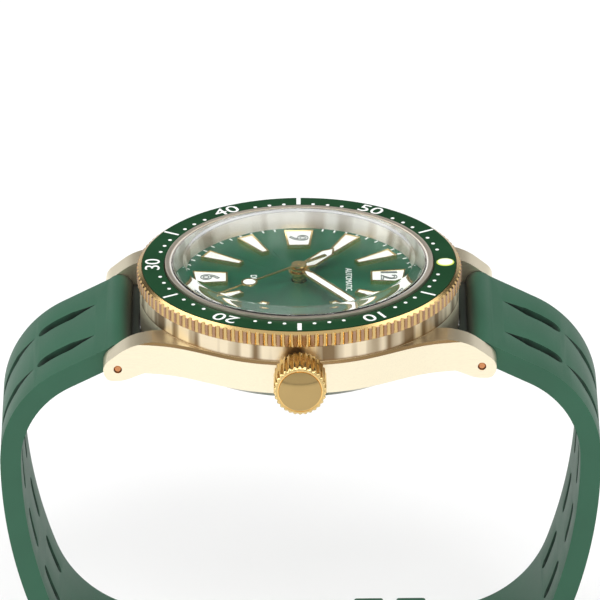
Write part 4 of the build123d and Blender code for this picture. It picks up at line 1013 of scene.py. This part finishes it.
def softbox(name, place, size, power):
    """A rectangular white lamp that faces the watch."""
    lamp = bpy.data.lights.new(name, "AREA")
    lamp.shape, lamp.size, lamp.size_y = "RECTANGLE", size[0], size[1]
    lamp.energy = power
    holder = bpy.data.objects.new(name, lamp)
    holder.location = place
    holder.rotation_mode = "QUATERNION"
    holder.rotation_quaternion = (-Vector(place)).to_track_quat("-Z", "Y")
    bpy.context.scene.collection.objects.link(holder)


stage_floor()
softbox("left_top", (-0.45, 0.22, 0.60), (0.45, 0.40), 1.6)
softbox("right_top", (0.45, 0.22, 0.60), (0.45, 0.40), 1.3)
softbox("left_side", (-0.62, -0.10, 0.30), (0.30, 0.45), 1.1)
softbox("front_high", (0.10, -0.45, 0.55), (0.45, 0.22), 2.0)

# The studio's brightness by height, from straight down to straight up. The dark band keeps the crystal clear.
STOPS = (
    (0.0, 0.95),
    (0.50, 0.95),
    (0.61, 0.85),
    (0.65, 0.08),
    (0.78, 0.08),
    (0.86, 0.60),
    (0.93, 1.0),
    (1.0, 0.9),
)

world = bpy.data.worlds.new("studio")
world.use_nodes = True
bpy.context.scene.world = world
sky = world.node_tree
backdrop = sky.nodes["Background"]
direction = split(sky, add(sky, "TexCoord", 0))
ramp_node = sky.nodes.new("ShaderNodeValToRGB")
while len(ramp_node.color_ramp.elements) < len(STOPS):
    ramp_node.color_ramp.elements.new(0.5)
for element, (spot, value) in zip(ramp_node.color_ramp.elements, STOPS):
    element.position = spot
    element.color = (value, value, value, 1)
sky.links.new(spread(sky, direction[2], 0.0, 1.0, -1.0, 1.0), ramp_node.inputs[0])
crown_side = spread(sky, direction[1], 0.9, 0.0, -0.5, -0.1)
shade = blend_colours(sky, crown_side, ramp_node.outputs[0], (0.95, 0.95, 0.95))
sky.links.new(shade, backdrop.inputs["Color"])
backdrop.inputs["Strength"].default_value = 0.95

ELEVATION, ROLL = 25.2, -0.5
DISTANCE = 1200 * MM
AIM_X, AIM_DROP = 0.08, 4.41  # the view's centre: beside the axis, and below the insert's top in the picture
camera_data = bpy.data.cameras.new("camera")
camera_data.lens, camera_data.sensor_width = 600, 36
camera_data.clip_start, camera_data.clip_end = 0.05, 10
camera = bpy.data.objects.new("camera", camera_data)
bpy.context.scene.collection.objects.link(camera)
bpy.context.scene.camera = camera
back = Vector((0, -cos(radians(ELEVATION)), sin(radians(ELEVATION))))
upward = Vector((0, sin(radians(ELEVATION)), cos(radians(ELEVATION))))
target = Vector((AIM_X * MM, 0, INSERT_TOP * MM)) - upward * AIM_DROP * MM
camera.rotation_mode = "QUATERNION"
camera.location = target + back * DISTANCE
roll = Matrix.Rotation(radians(ROLL), 3, "Z").to_quaternion()
camera.rotation_quaternion = (-back).to_track_quat("-Z", "Y") @ roll

bpy.context.scene.view_settings.view_transform = "Standard"
